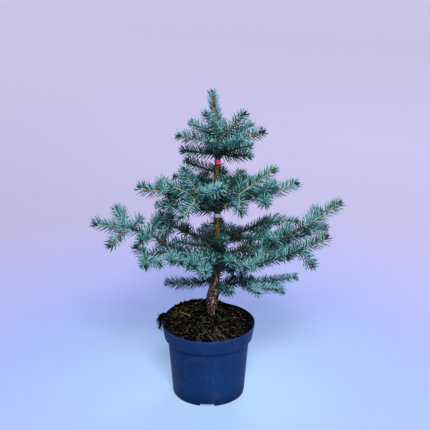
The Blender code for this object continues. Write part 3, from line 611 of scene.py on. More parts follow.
def distances(points, starts, ends):
    """How far each point is from each straight piece."""
    run = ends - starts
    offset = points[:, None] - starts
    share = np.clip((offset * run).sum(axis=2) / (run * run).sum(axis=1), 0, 1)
    return np.linalg.norm(offset - share[..., None] * run, axis=2)


def seeded(name):
    """A number source that is the same for the same name."""
    return np.random.default_rng(zlib.crc32(name.encode()))


# Growth, by the rule of the solids

class Shoot:
    """One bowed run of wood: its mass, its run, its age in years and its shade."""

    def __init__(self, mass, start, heading, rise, length, age=1, first=0.0, last=1.0):
        self.mass = mass
        self.run = (start, heading, rise, length)
        self.span = (first, last)
        self.length = length * (last - first)
        self.age = age
        self.inner = False
        self.tone = 0.0
        self.guide = bowed_path(*self.run, np.linspace(first, last, rows_in(self.length) + 1))

    def path(self, rng):
        """The middle line in short steps. It wanders a little between its ends."""
        steps = max(6, round(self.length / PATH_STEP))
        path = bowed_path(*self.run, np.linspace(*self.span, steps + 1))
        share = np.linspace(0, 1, steps + 1)[:, None]
        reach = min(1, self.length / WANDER_LENGTH) * WANDER
        for waves in (1, 2, 3):
            path += rng.normal(0, reach / waves, 3) * np.sin(math.pi * waves * share)
        return path


def main_shoots(name):
    """A mass's stem and main shoots. One that others grow on from is two years old."""
    carrier, rows = FOLIAGE[name]
    shoots = [None]
    if carrier == "bough":
        height, heading, rise, length = BOUGHS[name]
        shoots = [Shoot(name, trunk_at(height), heading, rise, length, age=2, first=BOUGH_SHARE)]
    for parent, along, heading, rise, length in rows:
        base = shoots[parent]
        start = trunk_at(carrier) if base is None else point_along(base.guide, along)
        shoots.append(Shoot(name, start, heading, rise, length))
        if base and along == 1:
            base.age = 2
    return [shoot for shoot in shoots if shoot]


def side_twigs(shoot, rng, spacing, lengths):
    """Short twigs on alternate sides of a shoot."""
    path = shoot.guide
    run = path[-1] - path[0]
    length = np.linalg.norm(run)
    heading = math.degrees(math.atan2(run[1], run[0]))
    side = rng.choice((-1, 1))
    for number in range(int(length / spacing)):
        side = -side
        share = (number + rng.uniform(*TWIG_STAGGER)) * spacing / length
        turn = side * rng.uniform(*TWIG_SPREAD)
        reach = rng.uniform(*lengths)
        start = point_along(path, min(share, TWIG_LAST))
        yield Shoot(shoot.mass, start, heading + turn, rng.uniform(*TWIG_RISES), reach)


class Crown:
    """Every shoot of the plant. New twigs are kept only where they find room."""

    def __init__(self):
        self.shoots = {name: main_shoots(name) for name in FOLIAGE}
        for name in FOLIAGE:
            if FOLIAGE[name][0] == "bough":
                self.add_twigs(name, self.shoots[name][:1], TWIG_SPACING, TWIG_LENGTHS, TWIG_ROOM)
        for name, share, heading, rise, length, tone in FORK_TWIGS:
            self.add_fork_twig(name, share, heading, rise, length, tone)
        for name in FOLIAGE:
            if name not in BARE_STEMS:
                old = [shoot for shoot in self.shoots[name] if shoot.age == 2]
                self.add_twigs(name, old, FINE_SPACING, FINE_LENGTHS, FINE_ROOM)
        for name, (height, *run) in BOUGHS.items():
            inner = Shoot(name, trunk_at(height), *run, 3, *INNER_SPAN)
            self.add_twigs(name, [inner], FINE_SPACING, FINE_LENGTHS, INNER_ROOM, inner=True)

    def add_fork_twig(self, name, share, heading, rise, length, tone):
        """A twig on a bough, or past its end on the first shoot."""
        height, *run = BOUGHS[name]
        bough = Shoot(name, trunk_at(height), *run)
        line = bough.guide if share <= 1 else self.shoots[name][1].guide
        place = share if share <= 1 else (share - 1) / FIRST_SHOOT_SHARE
        twig = Shoot(name, point_along(line, place), heading, rise, length)
        twig.tone = tone
        self.shoots[name].append(twig)

    def add_twigs(self, name, bearers, spacing, lengths, room, inner=False):
        rng = random.Random(zlib.crc32(name.encode()))
        for bearer in bearers:
            for twig in side_twigs(bearer, rng, spacing, lengths):
                twig.inner, twig.tone = inner, TWIG_SHADE
                if self.room_at(twig.guide[2:]) > room:
                    self.shoots[name].append(twig)

    def room_at(self, points):
        """How far some points stand from all the wood."""
        guides = [shoot.guide for shoots in self.shoots.values() for shoot in shoots]
        guides += [bough.guide for bough in bare_boughs()]
        trunk = np.array([row[1:3] + row[:1] for row in TRUNK])
        lines = guides + [trunk]
        starts = np.vstack([line[:-1] for line in lines])
        ends = np.vstack([line[1:] for line in lines])
        return distances(points, starts, ends).min()


def bare_boughs():
    """The boughs from the trunk to where each enters its foliage."""
    boughs = []
    for name, (height, heading, rise, length) in BOUGHS.items():
        boughs.append(Shoot(name, trunk_at(height), heading, rise, length, age=3, last=BOUGH_SHARE))
    return boughs


# Mesh code

class Heap:
    """The points and faces of one piece, gathered before it is made."""

    def __init__(self):
        self.points = []
        self.faces = {3: [], 4: []}
        self.size = 0

    def add(self, points, *face_sets):
        for faces in face_sets:
            self.faces[faces.shape[1]].append(faces + self.size)
        self.points.append(points)
        self.size += len(points)

    def mesh(self, name):
        points = np.vstack(self.points)
        corners = [np.vstack(faces) for faces in self.faces.values() if faces]
        sizes = np.concatenate([np.full(len(faces), faces.shape[1]) for faces in corners])
        loops = np.concatenate([faces.ravel() for faces in corners])
        mesh = bpy.data.meshes.new(name)
        mesh.vertices.add(len(points))
        mesh.vertices.foreach_set("co", points.astype(np.float32).ravel())
        mesh.loops.add(len(loops))
        mesh.loops.foreach_set("vertex_index", loops.astype(np.int32))
        mesh.polygons.add(len(sizes))
        mesh.polygons.foreach_set("loop_start", (np.cumsum(sizes) - sizes).astype(np.int32))
        mesh.update(calc_edges=True)
        mesh.validate()
        return mesh


def place_piece(name, mesh, material, slot, nodes, smooth=True):
    piece = bpy.data.objects.new(name, mesh)
    bpy.context.scene.collection.objects.link(piece)
    mesh.materials.clear()
    mesh.materials.append(material)
    if smooth:
        mesh.shade_smooth()
    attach(piece, "root")
    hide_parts(*nodes)
    return piece


def ring_faces(rings, sides):
    """Quads between rings of points that close on themselves."""
    ring = np.arange(rings - 1)[:, None] * sides
    here, after = np.arange(sides), (np.arange(sides) + 1) % sides
    corners = [ring + here, ring + after, ring + sides + after, ring + sides + here]
    return np.stack(corners, axis=-1).reshape(-1, 4)


def cap_faces(rings, sides, foot, head):
    """Triangles that close the first ring on one point and the last ring on another."""
    here, after = np.arange(sides), (np.arange(sides) + 1) % sides
    last = (rings - 1) * sides
    first_cap = np.stack([np.full(sides, foot), after, here], axis=1)
    last_cap = np.stack([np.full(sides, head), last + here, last + after], axis=1)
    return np.vstack([first_cap, last_cap])


def add_body(heap, rings, foot, head):
    """A closed body: rings of points, and a point at each end."""
    count, sides = rings.shape[:2]
    points = rings.reshape(-1, 3)
    caps = cap_faces(count, sides, len(points), len(points) + 1)
    heap.add(np.vstack([points, [foot], [head]]), ring_faces(count, sides), caps)


def frames_along(path):
    """Unit vectors ahead, across and up at each point of a path, carried along it without a twist."""
    ahead = unit(np.gradient(path, axis=0))
    side = np.cross((0.1, 0.2, 1.0), ahead[0])
    across = np.empty_like(ahead)
    for number, forward in enumerate(ahead):
        side = side - side.dot(forward) * forward
        side /= np.linalg.norm(side)
        across[number] = side
    return ahead, across, np.cross(ahead, across)


def add_tube(heap, path, radii, sides):
    """A closed tube. It has one radius for each ring, or one for each point of each ring."""
    _, across, up = frames_along(path)
    turn = 2 * math.pi * np.arange(sides) / sides
    ring = np.cos(turn)[:, None] * across[:, None] + np.sin(turn)[:, None] * up[:, None]
    radii = np.asarray(radii, float).reshape(len(path), -1, 1)
    add_body(heap, path[:, None] + radii * ring, path[0], path[-1])


def add_blades(heap, roots, directions, lengths, bends, half_widths):
    """Slim four-sided blades, all in one go: needles, fibres and the like. Each bends along its own curve."""
    count = len(roots)
    across = unit(np.cross(directions, bends + 1e-4 * np.array([0.3, 0.5, 1.0])))
    thick = np.cross(across, directions) * BLADE_THICKNESS
    rings = []
    for share, width in zip(BLADE_RINGS, BLADE_WIDTHS):
        middle = roots + share * lengths[:, None] * directions + share ** 2 * bends
        half = width * half_widths[:, None]
        rings += [middle + half * side for side in (across, thick, -across, -thick)]
    rings.append(roots + lengths[:, None] * directions + bends)
    points = np.stack(rings, axis=1).reshape(-1, 3)
    each = 4 * len(BLADE_RINGS) + 1
    base = np.arange(count)[:, None, None] * each
    quads = ring_faces(len(BLADE_RINGS), 4)
    last = each - 5
    tips = np.array([[last + side, last + (side + 1) % 4, each - 1] for side in range(4)])
    heap.add(points, (base + quads).reshape(-1, 4), (base + tips).reshape(-1, 3))


def random_turns(rng, count):
    """Rotation matrices that point every way."""
    w, x, y, z = unit(rng.normal(size=(count, 4))).T
    rows = [[1 - 2 * (y * y + z * z), 2 * (x * y - w * z), 2 * (x * z + w * y)],
            [2 * (x * y + w * z), 1 - 2 * (x * x + z * z), 2 * (y * z - w * x)],
            [2 * (x * z - w * y), 2 * (y * z + w * x), 1 - 2 * (x * x + y * y)]]
    return np.moveaxis(np.array(rows), 2, 0)


def ball_shape():
    """The points and faces of a ball with twenty faces."""
    long = (1 + math.sqrt(5)) / 2
    points = [(a, b * long, 0) for a in (-1, 1) for b in (-1, 1)]
    points += [(0, a, b * long) for a in (-1, 1) for b in (-1, 1)]
    points += [(b * long, 0, a) for a in (-1, 1) for b in (-1, 1)]
    points = np.array(points)
    faces = []
    for a in range(12):
        for b in range(a + 1, 12):
            for c in range(b + 1, 12):
                corners = points[[a, b, c]]
                if all(abs(np.linalg.norm(corners[i] - corners[i - 1]) - 2) < 1e-6 for i in range(3)):
                    normal = np.cross(corners[1] - corners[0], corners[2] - corners[0])
                    faces.append((a, b, c) if normal.dot(corners.sum(axis=0)) > 0 else (a, c, b))
    return unit(points), np.array(faces)


def add_crumbs(heap, places, sizes, rng, flatness=(0.5, 1.0), roughness=(0.7, 1.15)):
    """Uneven lumps at some places."""
    points, faces = ball_shape()
    count = len(places)
    stretch = np.stack([np.ones(count), rng.uniform(*flatness, count), rng.uniform(*flatness, count)], axis=1)
    lumps = points * rng.uniform(*roughness, (count, len(points), 1))
    lumps = lumps * stretch[:, None] * sizes[:, None, None]
    lumps = np.einsum("nij,nkj->nki", random_turns(rng, count), lumps) + places[:, None]
    base = np.arange(count)[:, None, None] * len(points)
    heap.add(lumps.reshape(-1, 3), (base + faces).reshape(-1, 3))


# Materials

def add_node(tree, kind, values=None, **settings):
    node = tree.nodes.new(kind)
    for name, setting in settings.items():
        setattr(node, name, setting)
    for name, value in (values or {}).items():
        node.inputs[name].default_value = value
    return node


def node_group(name, inputs, outputs):
    """An empty group with named sockets, its input node and its output node."""
    group = bpy.data.node_groups.new(name, "ShaderNodeTree")
    for socket, kind, value in inputs:
        made = group.interface.new_socket(socket, in_out="INPUT", socket_type="NodeSocket" + kind)
        made.default_value = value
    for socket, kind in outputs:
        group.interface.new_socket(socket, in_out="OUTPUT", socket_type="NodeSocket" + kind)
    return group, group.nodes.new("NodeGroupInput"), group.nodes.new("NodeGroupOutput")


def mix_colours(tree, factor, low, high):
    """A mix of two colours, each a socket or a colour, by a socket from 0 to 1."""
    mix = tree.nodes.new("ShaderNodeMix")
    mix.data_type = "RGBA"
    tree.links.new(factor, mix.inputs["Factor"])
    for socket, colour in ((mix.inputs[6], low), (mix.inputs[7], high)):
        if isinstance(colour, bpy.types.NodeSocket):
            tree.links.new(colour, socket)
        else:
            socket.default_value = (*colour, 1)
    return mix.outputs[2]


def between(tree, socket, low, high, start=0.0, end=1.0):
    """A value carried from one range to another, and held at its ends."""
    ends = {"From Min": low, "From Max": high, "To Min": start, "To Max": end}
    node = add_node(tree, "ShaderNodeMapRange", ends)
    tree.links.new(socket, node.inputs["Value"])
    return node.outputs["Result"]


def make_patches_group():
    """Soft uneven patches: 0 to 1, by a size of patch and how sharply they end."""
    sockets = (("Scale", "Float", 40.0), ("Edge", "Float", 0.15))
    group, start, end = node_group("patches", sockets, (("Mask", "Float"),))
    links = group.links
    place = add_node(group, "ShaderNodeTexCoord")
    texture = add_node(group, "ShaderNodeTexNoise", {"Detail": 5.0, "Roughness": 0.6})
    low = add_node(group, "ShaderNodeMath", {0: 0.5}, operation="SUBTRACT")
    high = add_node(group, "ShaderNodeMath", {0: 0.5}, operation="ADD")
    spread = add_node(group, "ShaderNodeMapRange")
    links.new(place.outputs["Object"], texture.inputs["Vector"])
    links.new(start.outputs["Scale"], texture.inputs["Scale"])
    links.new(start.outputs["Edge"], low.inputs[1])
    links.new(start.outputs["Edge"], high.inputs[1])
    links.new(texture.outputs["Fac"], spread.inputs["Value"])
    links.new(low.outputs[0], spread.inputs["From Min"])
    links.new(high.outputs[0], spread.inputs["From Max"])
    links.new(spread.outputs["Result"], end.inputs["Mask"])
    return group


def make_grain_group():
    """A fine uneven surface: a height from 0 to 1, by the size of its grains."""
    group, start, end = node_group("grain", (("Scale", "Float", 900.0),), (("Height", "Float"),))
    links = group.links
    place = add_node(group, "ShaderNodeTexCoord")
    cells = add_node(group, "ShaderNodeTexVoronoi")
    rough = add_node(group, "ShaderNodeTexNoise", {"Detail": 3.0})
    blend = add_node(group, "ShaderNodeMath", operation="MULTIPLY_ADD")
    for texture in (cells, rough):
        links.new(place.outputs["Object"], texture.inputs["Vector"])
        links.new(start.outputs["Scale"], texture.inputs["Scale"])
    links.new(cells.outputs["Distance"], blend.inputs[0])
    blend.inputs[1].default_value = 0.6
    links.new(rough.outputs["Fac"], blend.inputs[2])
    links.new(blend.outputs[0], end.inputs["Height"])
    return group


def make_scuffs_group():
    """Thin upright scratches that come and go: 0 to 1, by how thick they lie."""
    group, start, end = node_group("scuffs", (("Amount", "Float", 0.5),), (("Mask", "Float"),))
    links = group.links
    place = add_node(group, "ShaderNodeTexCoord")
    lines = add_node(group, "ShaderNodeMapping", {"Scale": (420, 420, 14), "Rotation": (0.05, 0.12, 0)})
    thin = add_node(group, "ShaderNodeTexNoise", {"Scale": 1.0, "Detail": 1.0})
    where = add_node(group, "ShaderNodeTexNoise", {"Scale": 22.0, "Detail": 2.0})
    links.new(place.outputs["Object"], lines.inputs["Vector"])
    links.new(place.outputs["Object"], where.inputs["Vector"])
    links.new(lines.outputs["Vector"], thin.inputs["Vector"])
    both = add_node(group, "ShaderNodeMath", operation="MULTIPLY")
    links.new(between(group, thin.outputs["Fac"], 0.62, 0.72), both.inputs[0])
    links.new(between(group, where.outputs["Fac"], 0.5, 0.68), both.inputs[1])
    scaled = add_node(group, "ShaderNodeMath", operation="MULTIPLY")
    links.new(both.outputs[0], scaled.inputs[0])
    links.new(start.outputs["Amount"], scaled.inputs[1])
    links.new(scaled.outputs[0], end.inputs["Mask"])
    return group


GROUPS = {"patches": make_patches_group(), "grain": make_grain_group(), "scuffs": make_scuffs_group()}


def use_group(tree, name, **values):
    node = tree.nodes.new("ShaderNodeGroup")
    node.node_tree = GROUPS[name]
    for socket, value in values.items():
        node.inputs[socket].default_value = value
    return node.outputs[0]


def new_material(name, roughness, specular=0.5):
    material = bpy.data.materials.new(name)
    material.use_nodes = True
    tree = material.node_tree
    shader = tree.nodes["Principled BSDF"]
    shader.inputs["Roughness"].default_value = roughness
    shader.inputs["Specular IOR Level"].default_value = specular
    return material, tree, shader


def set_bump(tree, shader, height, distance, strength=1.0):
    bump = add_node(tree, "ShaderNodeBump", {"Distance": distance, "Strength": strength})
    tree.links.new(height, bump.inputs["Height"])
    tree.links.new(bump.outputs["Normal"], shader.inputs["Normal"])


def patchy_material(name, edge=0.15, grain=900.0, relief=0.0003, specular=0.12):
    """Two colours in soft patches over a fine grain."""
    low, high, roughness, scale = FINISHES[name]
    material, tree, shader = new_material(name, roughness, specular)
    mask = use_group(tree, "patches", Scale=scale, Edge=edge)
    tree.links.new(mix_colours(tree, mask, low, high), shader.inputs["Base Color"])
    tree.links.new(between(tree, mask, 0, 1, roughness, roughness + 0.12), shader.inputs["Roughness"])
    set_bump(tree, shader, use_group(tree, "grain", Scale=grain), relief)
    return material


def needle_material(tint):
    """Waxy needles: one base colour with a faint bloom."""
    colour, roughness = TINTS[tint]
    bloom = tuple(min(1, part * 1.18 + 0.012) for part in colour)
    material, tree, shader = new_material("needles_" + tint, roughness, 0.15)
    mask = use_group(tree, "patches", Scale=160.0, Edge=0.20)
    tree.links.new(mix_colours(tree, mask, colour, bloom), shader.inputs["Base Color"])
    return material


def height_socket(tree):
    """The height above the floor."""
    place = add_node(tree, "ShaderNodeTexCoord")
    parts = add_node(tree, "ShaderNodeSeparateXYZ")
    tree.links.new(place.outputs["Object"], parts.inputs[0])
    return parts.outputs["Z"]


def twig_material():
    """Young twigs: pale tan in the middle of the crown, and darker above and below it."""
    material, tree, shader = new_material("twig_bark", 0.62, 0.12)
    mask = use_group(tree, "patches", Scale=260.0, Edge=0.15)
    height = height_socket(tree)
    tones = mix_colours(tree, mask, *DARK_TWIGS)
    for low, high, colours in TWIG_CHANGES:
        share = between(tree, height, low, high)
        tones = mix_colours(tree, share, tones, mix_colours(tree, mask, *colours))
    tree.links.new(tones, shader.inputs["Base Color"])
    set_bump(tree, shader, use_group(tree, "grain", Scale=900.0), 0.0003)
    return material


def bark_material():
    """Scaly bark at the foot and golden young wood above, darker at knots and flecks, with painted shade in
    the cracks, in hollows and down one side of the foot.
    """
    material, tree, shader = new_material("bark_relief", 0.85, 0.10)
    # The depth attribute holds the darkness: knots and flecks, and painted shade in cracks, hollows and down
    # one side of the foot.
    depth = add_node(tree, "ShaderNodeAttribute", attribute_name="depth").outputs["Fac"]
    plate = add_node(tree, "ShaderNodeAttribute", attribute_name="plate").outputs["Fac"]
    large = use_group(tree, "patches", Scale=95.0, Edge=0.10)
    small = use_group(tree, "patches", Scale=330.0, Edge=0.12)
    foot = mix_colours(tree, plate, *FOOT_BARK)
    foot = mix_colours(tree, between(tree, plate, 0.55, 0.80), foot, PALE_PLATE)
    foot = mix_colours(tree, between(tree, small, 0.55, 1.0, 0, 0.6), foot, PALE_SPECK)
    young = mix_colours(tree, large, *YOUNG_BARK)
    age = between(tree, height_socket(tree), OLD_BARK_TOP, YOUNG_BARK_FOOT)
    skin = mix_colours(tree, age, foot, young)
    shaded_and_darkened = mix_colours(tree, depth, skin, BARK_SHADE_AND_DARK)
    tree.links.new(shaded_and_darkened, shader.inputs["Base Color"])
    set_bump(tree, shader, use_group(tree, "grain", Scale=1100.0), 0.0004)
    return material


def facing_axis(tree):
    """1 on faces that look towards the pot's axis, and 0 on the others."""
    place = add_node(tree, "ShaderNodeTexCoord")
    level = add_node(tree, "ShaderNodeVectorMath", operation="MULTIPLY")
    level.inputs[1].default_value = (1, 1, 0)
    facing = add_node(tree, "ShaderNodeVectorMath", operation="DOT_PRODUCT")
    tree.links.new(place.outputs["Object"], level.inputs[0])
    tree.links.new(level.outputs[0], facing.inputs[0])
    tree.links.new(place.outputs["Normal"], facing.inputs[1])
    return between(tree, facing.outputs["Value"], -0.02, -0.06)


def pot_material():
    """Moulded plastic: faint cloudiness, thin scratches, smears, dust that has settled near the rim with
    painted light there, and painted shade at the foot.
    """
    material, tree, shader = new_material("pot_plastic", 0.5, 0.07)
    for socket, value in POT_SHEEN.items():
        shader.inputs[socket].default_value = value
    height = height_socket(tree)
    cloud = use_group(tree, "patches", Scale=9.0, Edge=0.2)
    smears = use_group(tree, "patches", Scale=30.0, Edge=0.12)
    layers = (
        # Dust with painted light near the rim.
        (between(tree, height, POT_HEIGHT - DUST_AND_LIGHT_HEIGHT, POT_HEIGHT, 0.0, DUST_AND_LIGHT_SHARE), POT_DUST_AND_LIGHT),
        # Painted shade that darkens the pot towards its foot.
        (between(tree, height, FOOT_SHADE_TOP, 0.0, 0, FOOT_SHADE_SHARE), POT_FOOT_SHADE),
        (use_group(tree, "scuffs", Amount=0.30), POT_SCRATCH),
        (between(tree, smears, 0.75, 1.0, 0, 0.22), POT_SMEAR),
        (facing_axis(tree), POT_INSIDE),
    )
    body = mix_colours(tree, cloud, *POT_PLASTIC)
    for mask, colour in layers:
        body = mix_colours(tree, mask, body, colour)
    tree.links.new(body, shader.inputs["Base Color"])
    tree.links.new(between(tree, cloud, 0, 1, 0.42, 0.56), shader.inputs["Roughness"])
    set_bump(tree, shader, use_group(tree, "grain", Scale=1500.0), 0.00012)
    return material


def tape_material(name):
    """Stretchy tape with faint creases."""
    low, high = TAPES[name]
    material, tree, shader = new_material(name, 0.4, 0.5)
    mask = use_group(tree, "patches", Scale=180.0, Edge=0.2)
    tree.links.new(mix_colours(tree, mask, low, high), shader.inputs["Base Color"])
    tree.links.new(between(tree, mask, 0, 1, 0.35, 0.55), shader.inputs["Roughness"])
    set_bump(tree, shader, use_group(tree, "grain", Scale=500.0), 0.0003)
    return material


# Needles

def along(path, reach):
    """Places and unit vectors ahead at some distances along a path."""
    steps = np.linalg.norm(np.diff(path, axis=0), axis=1)
    marks = np.concatenate([[0], np.cumsum(steps)])
    slopes = np.gradient(path, marks, axis=0)
    places = np.stack([np.interp(reach, marks, path[:, axis]) for axis in range(3)], axis=1)
    ahead = np.stack([np.interp(reach, marks, slopes[:, axis]) for axis in range(3)], axis=1)
    return places, unit(ahead)


def path_length(path):
    return np.linalg.norm(np.diff(path, axis=0), axis=1).sum()


def rising(ahead):
    """The direction square to each vector ahead that rises most, and how level that vector is."""
    nearly_up = np.array([0.02, -0.03, 1.0])
    up = nearly_up - (ahead @ nearly_up)[:, None] * ahead
    return unit(up), np.linalg.norm(up, axis=1)


def outside_trunk(points, margin=0.0005):
    heights, across, away, radii = np.array(TRUNK).T
    x, y = np.interp(points[:, 2], heights, across), np.interp(points[:, 2], heights, away)
    return np.hypot(points[:, 0] - x, points[:, 1] - y) > np.interp(points[:, 2], heights, radii) + margin


def deal_needles(needles, shades, fresh, blades):
    """Puts each needle in the heap of its tint."""
    levels = np.clip(np.round(shades), 0, PALEST).astype(int)
    green = fresh & (levels >= PALEST - 1)
    levels[green] = PALEST + 1
    for level, tint in enumerate(TINTS):
        chosen = levels == level
        if chosen.any():
            add_blades(needles[tint], *(values[chosen] for values in blades))


def depth_shade(points):
    """The painted shade of needles deep in the crown: how much darker they are."""
    heights, across, away, _ = np.array(TRUNK).T
    x, y = np.interp(points[:, 2], heights, across), np.interp(points[:, 2], heights, away)
    shade = np.interp(np.hypot(points[:, 0] - x, points[:, 1] - y), INNER_REACH, (INNER_SHADE, 0))
    return shade * np.interp(points[:, 2], SUNLIT_HEIGHTS, (1, 0.1))


def on_bare_side(ahead, outward, share, rng):
    """Which needles are left out, a share of those that face the front, so that the twig shows there."""
    front = heading_vector(*BARE_SIDE)
    square = front - (ahead @ front)[:, None] * ahead
    size = np.linalg.norm(square, axis=1)
    facing = (outward * square).sum(axis=1) / size
    near = facing > math.cos(math.radians(BARE_ANGLE))
    near &= (size > BARE_SQUARENESS) & (ahead[:, 1] < BARE_LEADING)
    return near & (rng.uniform(size=len(ahead)) < share)


def add_needles(needles, path, radius, habit, shade, rng, budded=False, fresh=False, parted=0.0, bare=0.0):
    """Needles set round a shoot by the golden angle. They crowd to its sides and close towards its tip."""
    density, length, lean = habit
    reach = path_length(path)
    order = np.arange(int(density * reach))
    distance = (order + rng.uniform(0, 1, len(order))) / density
    share = distance / reach
    places, ahead = along(path, distance)
    up, level = rising(ahead)
    turn = order * GOLDEN_ANGLE + rng.normal(0, NEEDLE_SPREAD, len(order))
    turn = turn - NEEDLE_CROWDING * level * np.sin(turn) + NEEDLE_PARTING * level * np.sin(2 * turn)
    outward = np.cos(turn)[:, None] * up + np.sin(turn)[:, None] * np.cross(ahead, up)
    close = np.interp(share, *LEAN_ALONG) if budded else np.ones(len(order))
    above = np.cos(turn)
    tilt = np.radians(lean * close * (1 + 0.10 * above) * rng.normal(1, NEEDLE_SPREAD, len(order)))[:, None]
    direction = np.cos(tilt) * ahead + np.sin(tilt) * outward
    heights = places[:, 2]
    size = length * rng.uniform(*NEEDLE_SIZES, len(order)) * np.interp(heights, LENGTH_HEIGHTS, LENGTH_SHARES)
    if budded:
        size *= np.interp(share, *SIZE_ALONG)
    rise = (level * (0.4 + 0.6 * above))[:, None]
    bend = size[:, None] * NEEDLE_SWEEP * (0.5 * ahead + rise * up)
    roots = places + 0.8 * radius * outward
    width = NEEDLE_HALF_WIDTH * rng.uniform(*NEEDLE_WIDTHS, len(order))
    # Painted light and shade: needles above the shoot are paler, those below darker, and those deep in the
    # crown darker still.
    shades = shade + UPPER_SHADE * level * above + rng.normal(0, NEEDLE_VARIETY, len(order))
    shades += depth_shade(places)
    clear = outside_trunk(roots) if radius < THIN_WOOD else np.full(len(order), True)
    clear &= share > bare
    if parted:
        clear &= ~on_bare_side(ahead, outward, parted, rng)
    blades = [values[clear] for values in (roots, direction, size, bend, width)]
    deal_needles(needles, shades[clear], fresh & (share[clear] > FRESH_FROM), blades)


def add_tuft(needles, path, shade, rng, fresh=False, parted=False):
    """The ring of needles round an end bud. It may be open towards the front, so that the bud shows."""
    tip, ahead = path[-1], unit(path[-1] - path[-3])
    side = unit(np.cross(ahead, (0.3, 0.2, 1.0)))
    up = np.cross(side, ahead)
    turn = np.arange(TUFT_NEEDLES) * GOLDEN_ANGLE + rng.uniform(0, 6)
    outward = np.cos(turn)[:, None] * side + np.sin(turn)[:, None] * up
    tilt = np.radians(rng.uniform(*TUFT_LEANS, TUFT_NEEDLES))[:, None]
    direction = np.cos(tilt) * ahead + np.sin(tilt) * outward
    roots = tip - rng.uniform(0, TUFT_DEPTH, (TUFT_NEEDLES, 1)) * ahead + TUFT_OFFSET * outward
    size = TUFT_LENGTH * rng.uniform(*TUFT_SIZES, TUFT_NEEDLES)
    bend = TUFT_BEND * size[:, None] * outward
    # Painted light and shade: the tuft's upper needles are paler and its lower ones darker.
    shades = shade + UPPER_SHADE * outward[:, 2] + rng.normal(0, NEEDLE_VARIETY, TUFT_NEEDLES)
    width = np.full(TUFT_NEEDLES, NEEDLE_HALF_WIDTH)
    kept = np.full(TUFT_NEEDLES, True)
    if parted:
        kept = outward @ heading_vector(*BARE_SIDE) < TUFT_OPENING
    blades = [values[kept] for values in (roots, direction, size, bend, width)]
    deal_needles(needles, shades[kept], fresh, blades)


# Wood and buds

def add_wood(heap, path, age, rng, swollen=False):
    """A tapering limb, rough with the pegs that needles stood on, swollen where it leaves the trunk."""
    radii = np.linspace(*WOOD_RADII[age], len(path))
    if swollen:
        distance = np.linspace(0, path_length(path), len(path)) - trunk_radius(path[0][2])
        radii *= 1 + COLLAR_SWELL * np.exp(-np.maximum(distance, 0) / COLLAR_LENGTH)
    sides = WOOD_SIDES[age]
    relief = rng.normal(0, WOOD_ROUGHNESS[age], (len(path), sides))
    add_tube(heap, path, radii[:, None] * (1 + relief), sides)


def add_bud(heap, place, ahead, length, rng):
    """A plump bud with rows of scales."""
    share = np.linspace(0, 1, BUD_RINGS)
    path = place + share[:, None] * length * ahead
    outline = BUD_PLUMPNESS * length * np.sin(math.pi * (0.18 + 0.80 * share ** 0.85))
    rows = (-1.0) ** np.add.outer(np.arange(BUD_RINGS), np.arange(BUD_SIDES))
    scales = 1 + BUD_RELIEF * rows + rng.normal(0, BUD_ROUGHNESS, rows.shape)
    add_tube(heap, path, outline[:, None] * scales, BUD_SIDES)


def add_buds(heap, path, rng, several=True):
    """The end bud and, where there are several, two or three beside it and a few along the shoot."""
    ahead = unit(path[-1] - path[-3])
    add_bud(heap, path[-1] - 0.001 * ahead, ahead, BUD_LENGTHS[0] * rng.uniform(0.85, 1.1), rng)
    if not several:
        return
    beside = [(rng.uniform(*BESIDE_PLACES), BUD_LENGTHS[1]) for _ in range(rng.integers(*BUDS_BESIDE))]
    further = [(rng.uniform(*ALONG_PLACES), BUD_LENGTHS[2]) for _ in range(rng.integers(*BUDS_ALONG))]
    for share, length in beside + further:
        place = point_along(path, share)
        outward = rng.normal(size=3)
        outward = unit(outward - outward.dot(ahead) * ahead)
        add_bud(heap, place + 0.0008 * outward, unit(0.75 * ahead + 0.66 * outward), length, rng)


def grow_plant():
    """All needles, wood and buds, each kind in its own heaps."""
    needles = {tint: Heap() for tint in TINTS}
    wood = {age: Heap() for age in WOOD_RADII}
    buds = Heap()
    for name, shoots in Crown().shoots.items():
        first = 0 if FOLIAGE[name][0] == "bough" else 1
        for number, shoot in enumerate(shoots, first):
            dress_shoot((name, number), shoot, needles, wood, buds)
    for bough in bare_boughs():
        rng = seeded("bough " + bough.mass)
        path = bough.path(rng)
        add_wood(wood[3], path, 3, rng, swollen=True)
        add_needles(needles, path, WOOD_RADII[3][1], NEEDLES[3], MIDDLE_SHADE + AGE_SHADE[3], rng)
    dress_trunk(needles, buds)
    return needles, wood, buds


def dress_shoot(key, shoot, needles, wood, buds):
    """A shoot's wood, needles and buds. The key is its mass and its number there."""
    rng = seeded("%s %d" % key)
    path = shoot.path(rng)
    # Tone and shade: how pale the shoot's needles are, painted light and shade by mass, shoot and age.
    tone = MASS_SHADES.get(shoot.mass, 0) + SHOOT_SHADES.get(key, 0) + shoot.tone
    shade = MIDDLE_SHADE + tone + AGE_SHADE[shoot.age] + rng.normal(0, SHOOT_VARIETY)
    parted = tone > BARE_TONE and key not in FULL_SHOOTS
    fresh, old, young = key in FRESH_SHOOTS, key in OLD_STEMS, shoot.age == 1
    bare = BARE_FEET.get(key, 0)
    # A young twig that its needles hide has the darker bark of the stems: painted shade for the shade among
    # its needles.
    age = 3 if old else shoot.age
    add_wood(wood[age if parted else max(2, age)], path, age, rng)
    density, length, lean = INNER_NEEDLES if shoot.inner else NEEDLES[shoot.age]
    density *= OLD_STEM_THINNING if old else 1
    habit = (density * (1 + SHADE_THINNING * min(0, tone)), length * MASS_LENGTHS.get(shoot.mass, 1), lean)
    radius = WOOD_RADII[shoot.age][0]
    add_needles(needles, path, radius, habit, shade, rng, young, fresh, parted * BARE_SHARE, bare)
    if young and not shoot.inner:
        if bare < 1:
            add_tuft(needles, path, shade, rng, fresh, parted)
        add_buds(buds, path, rng, several=parted)


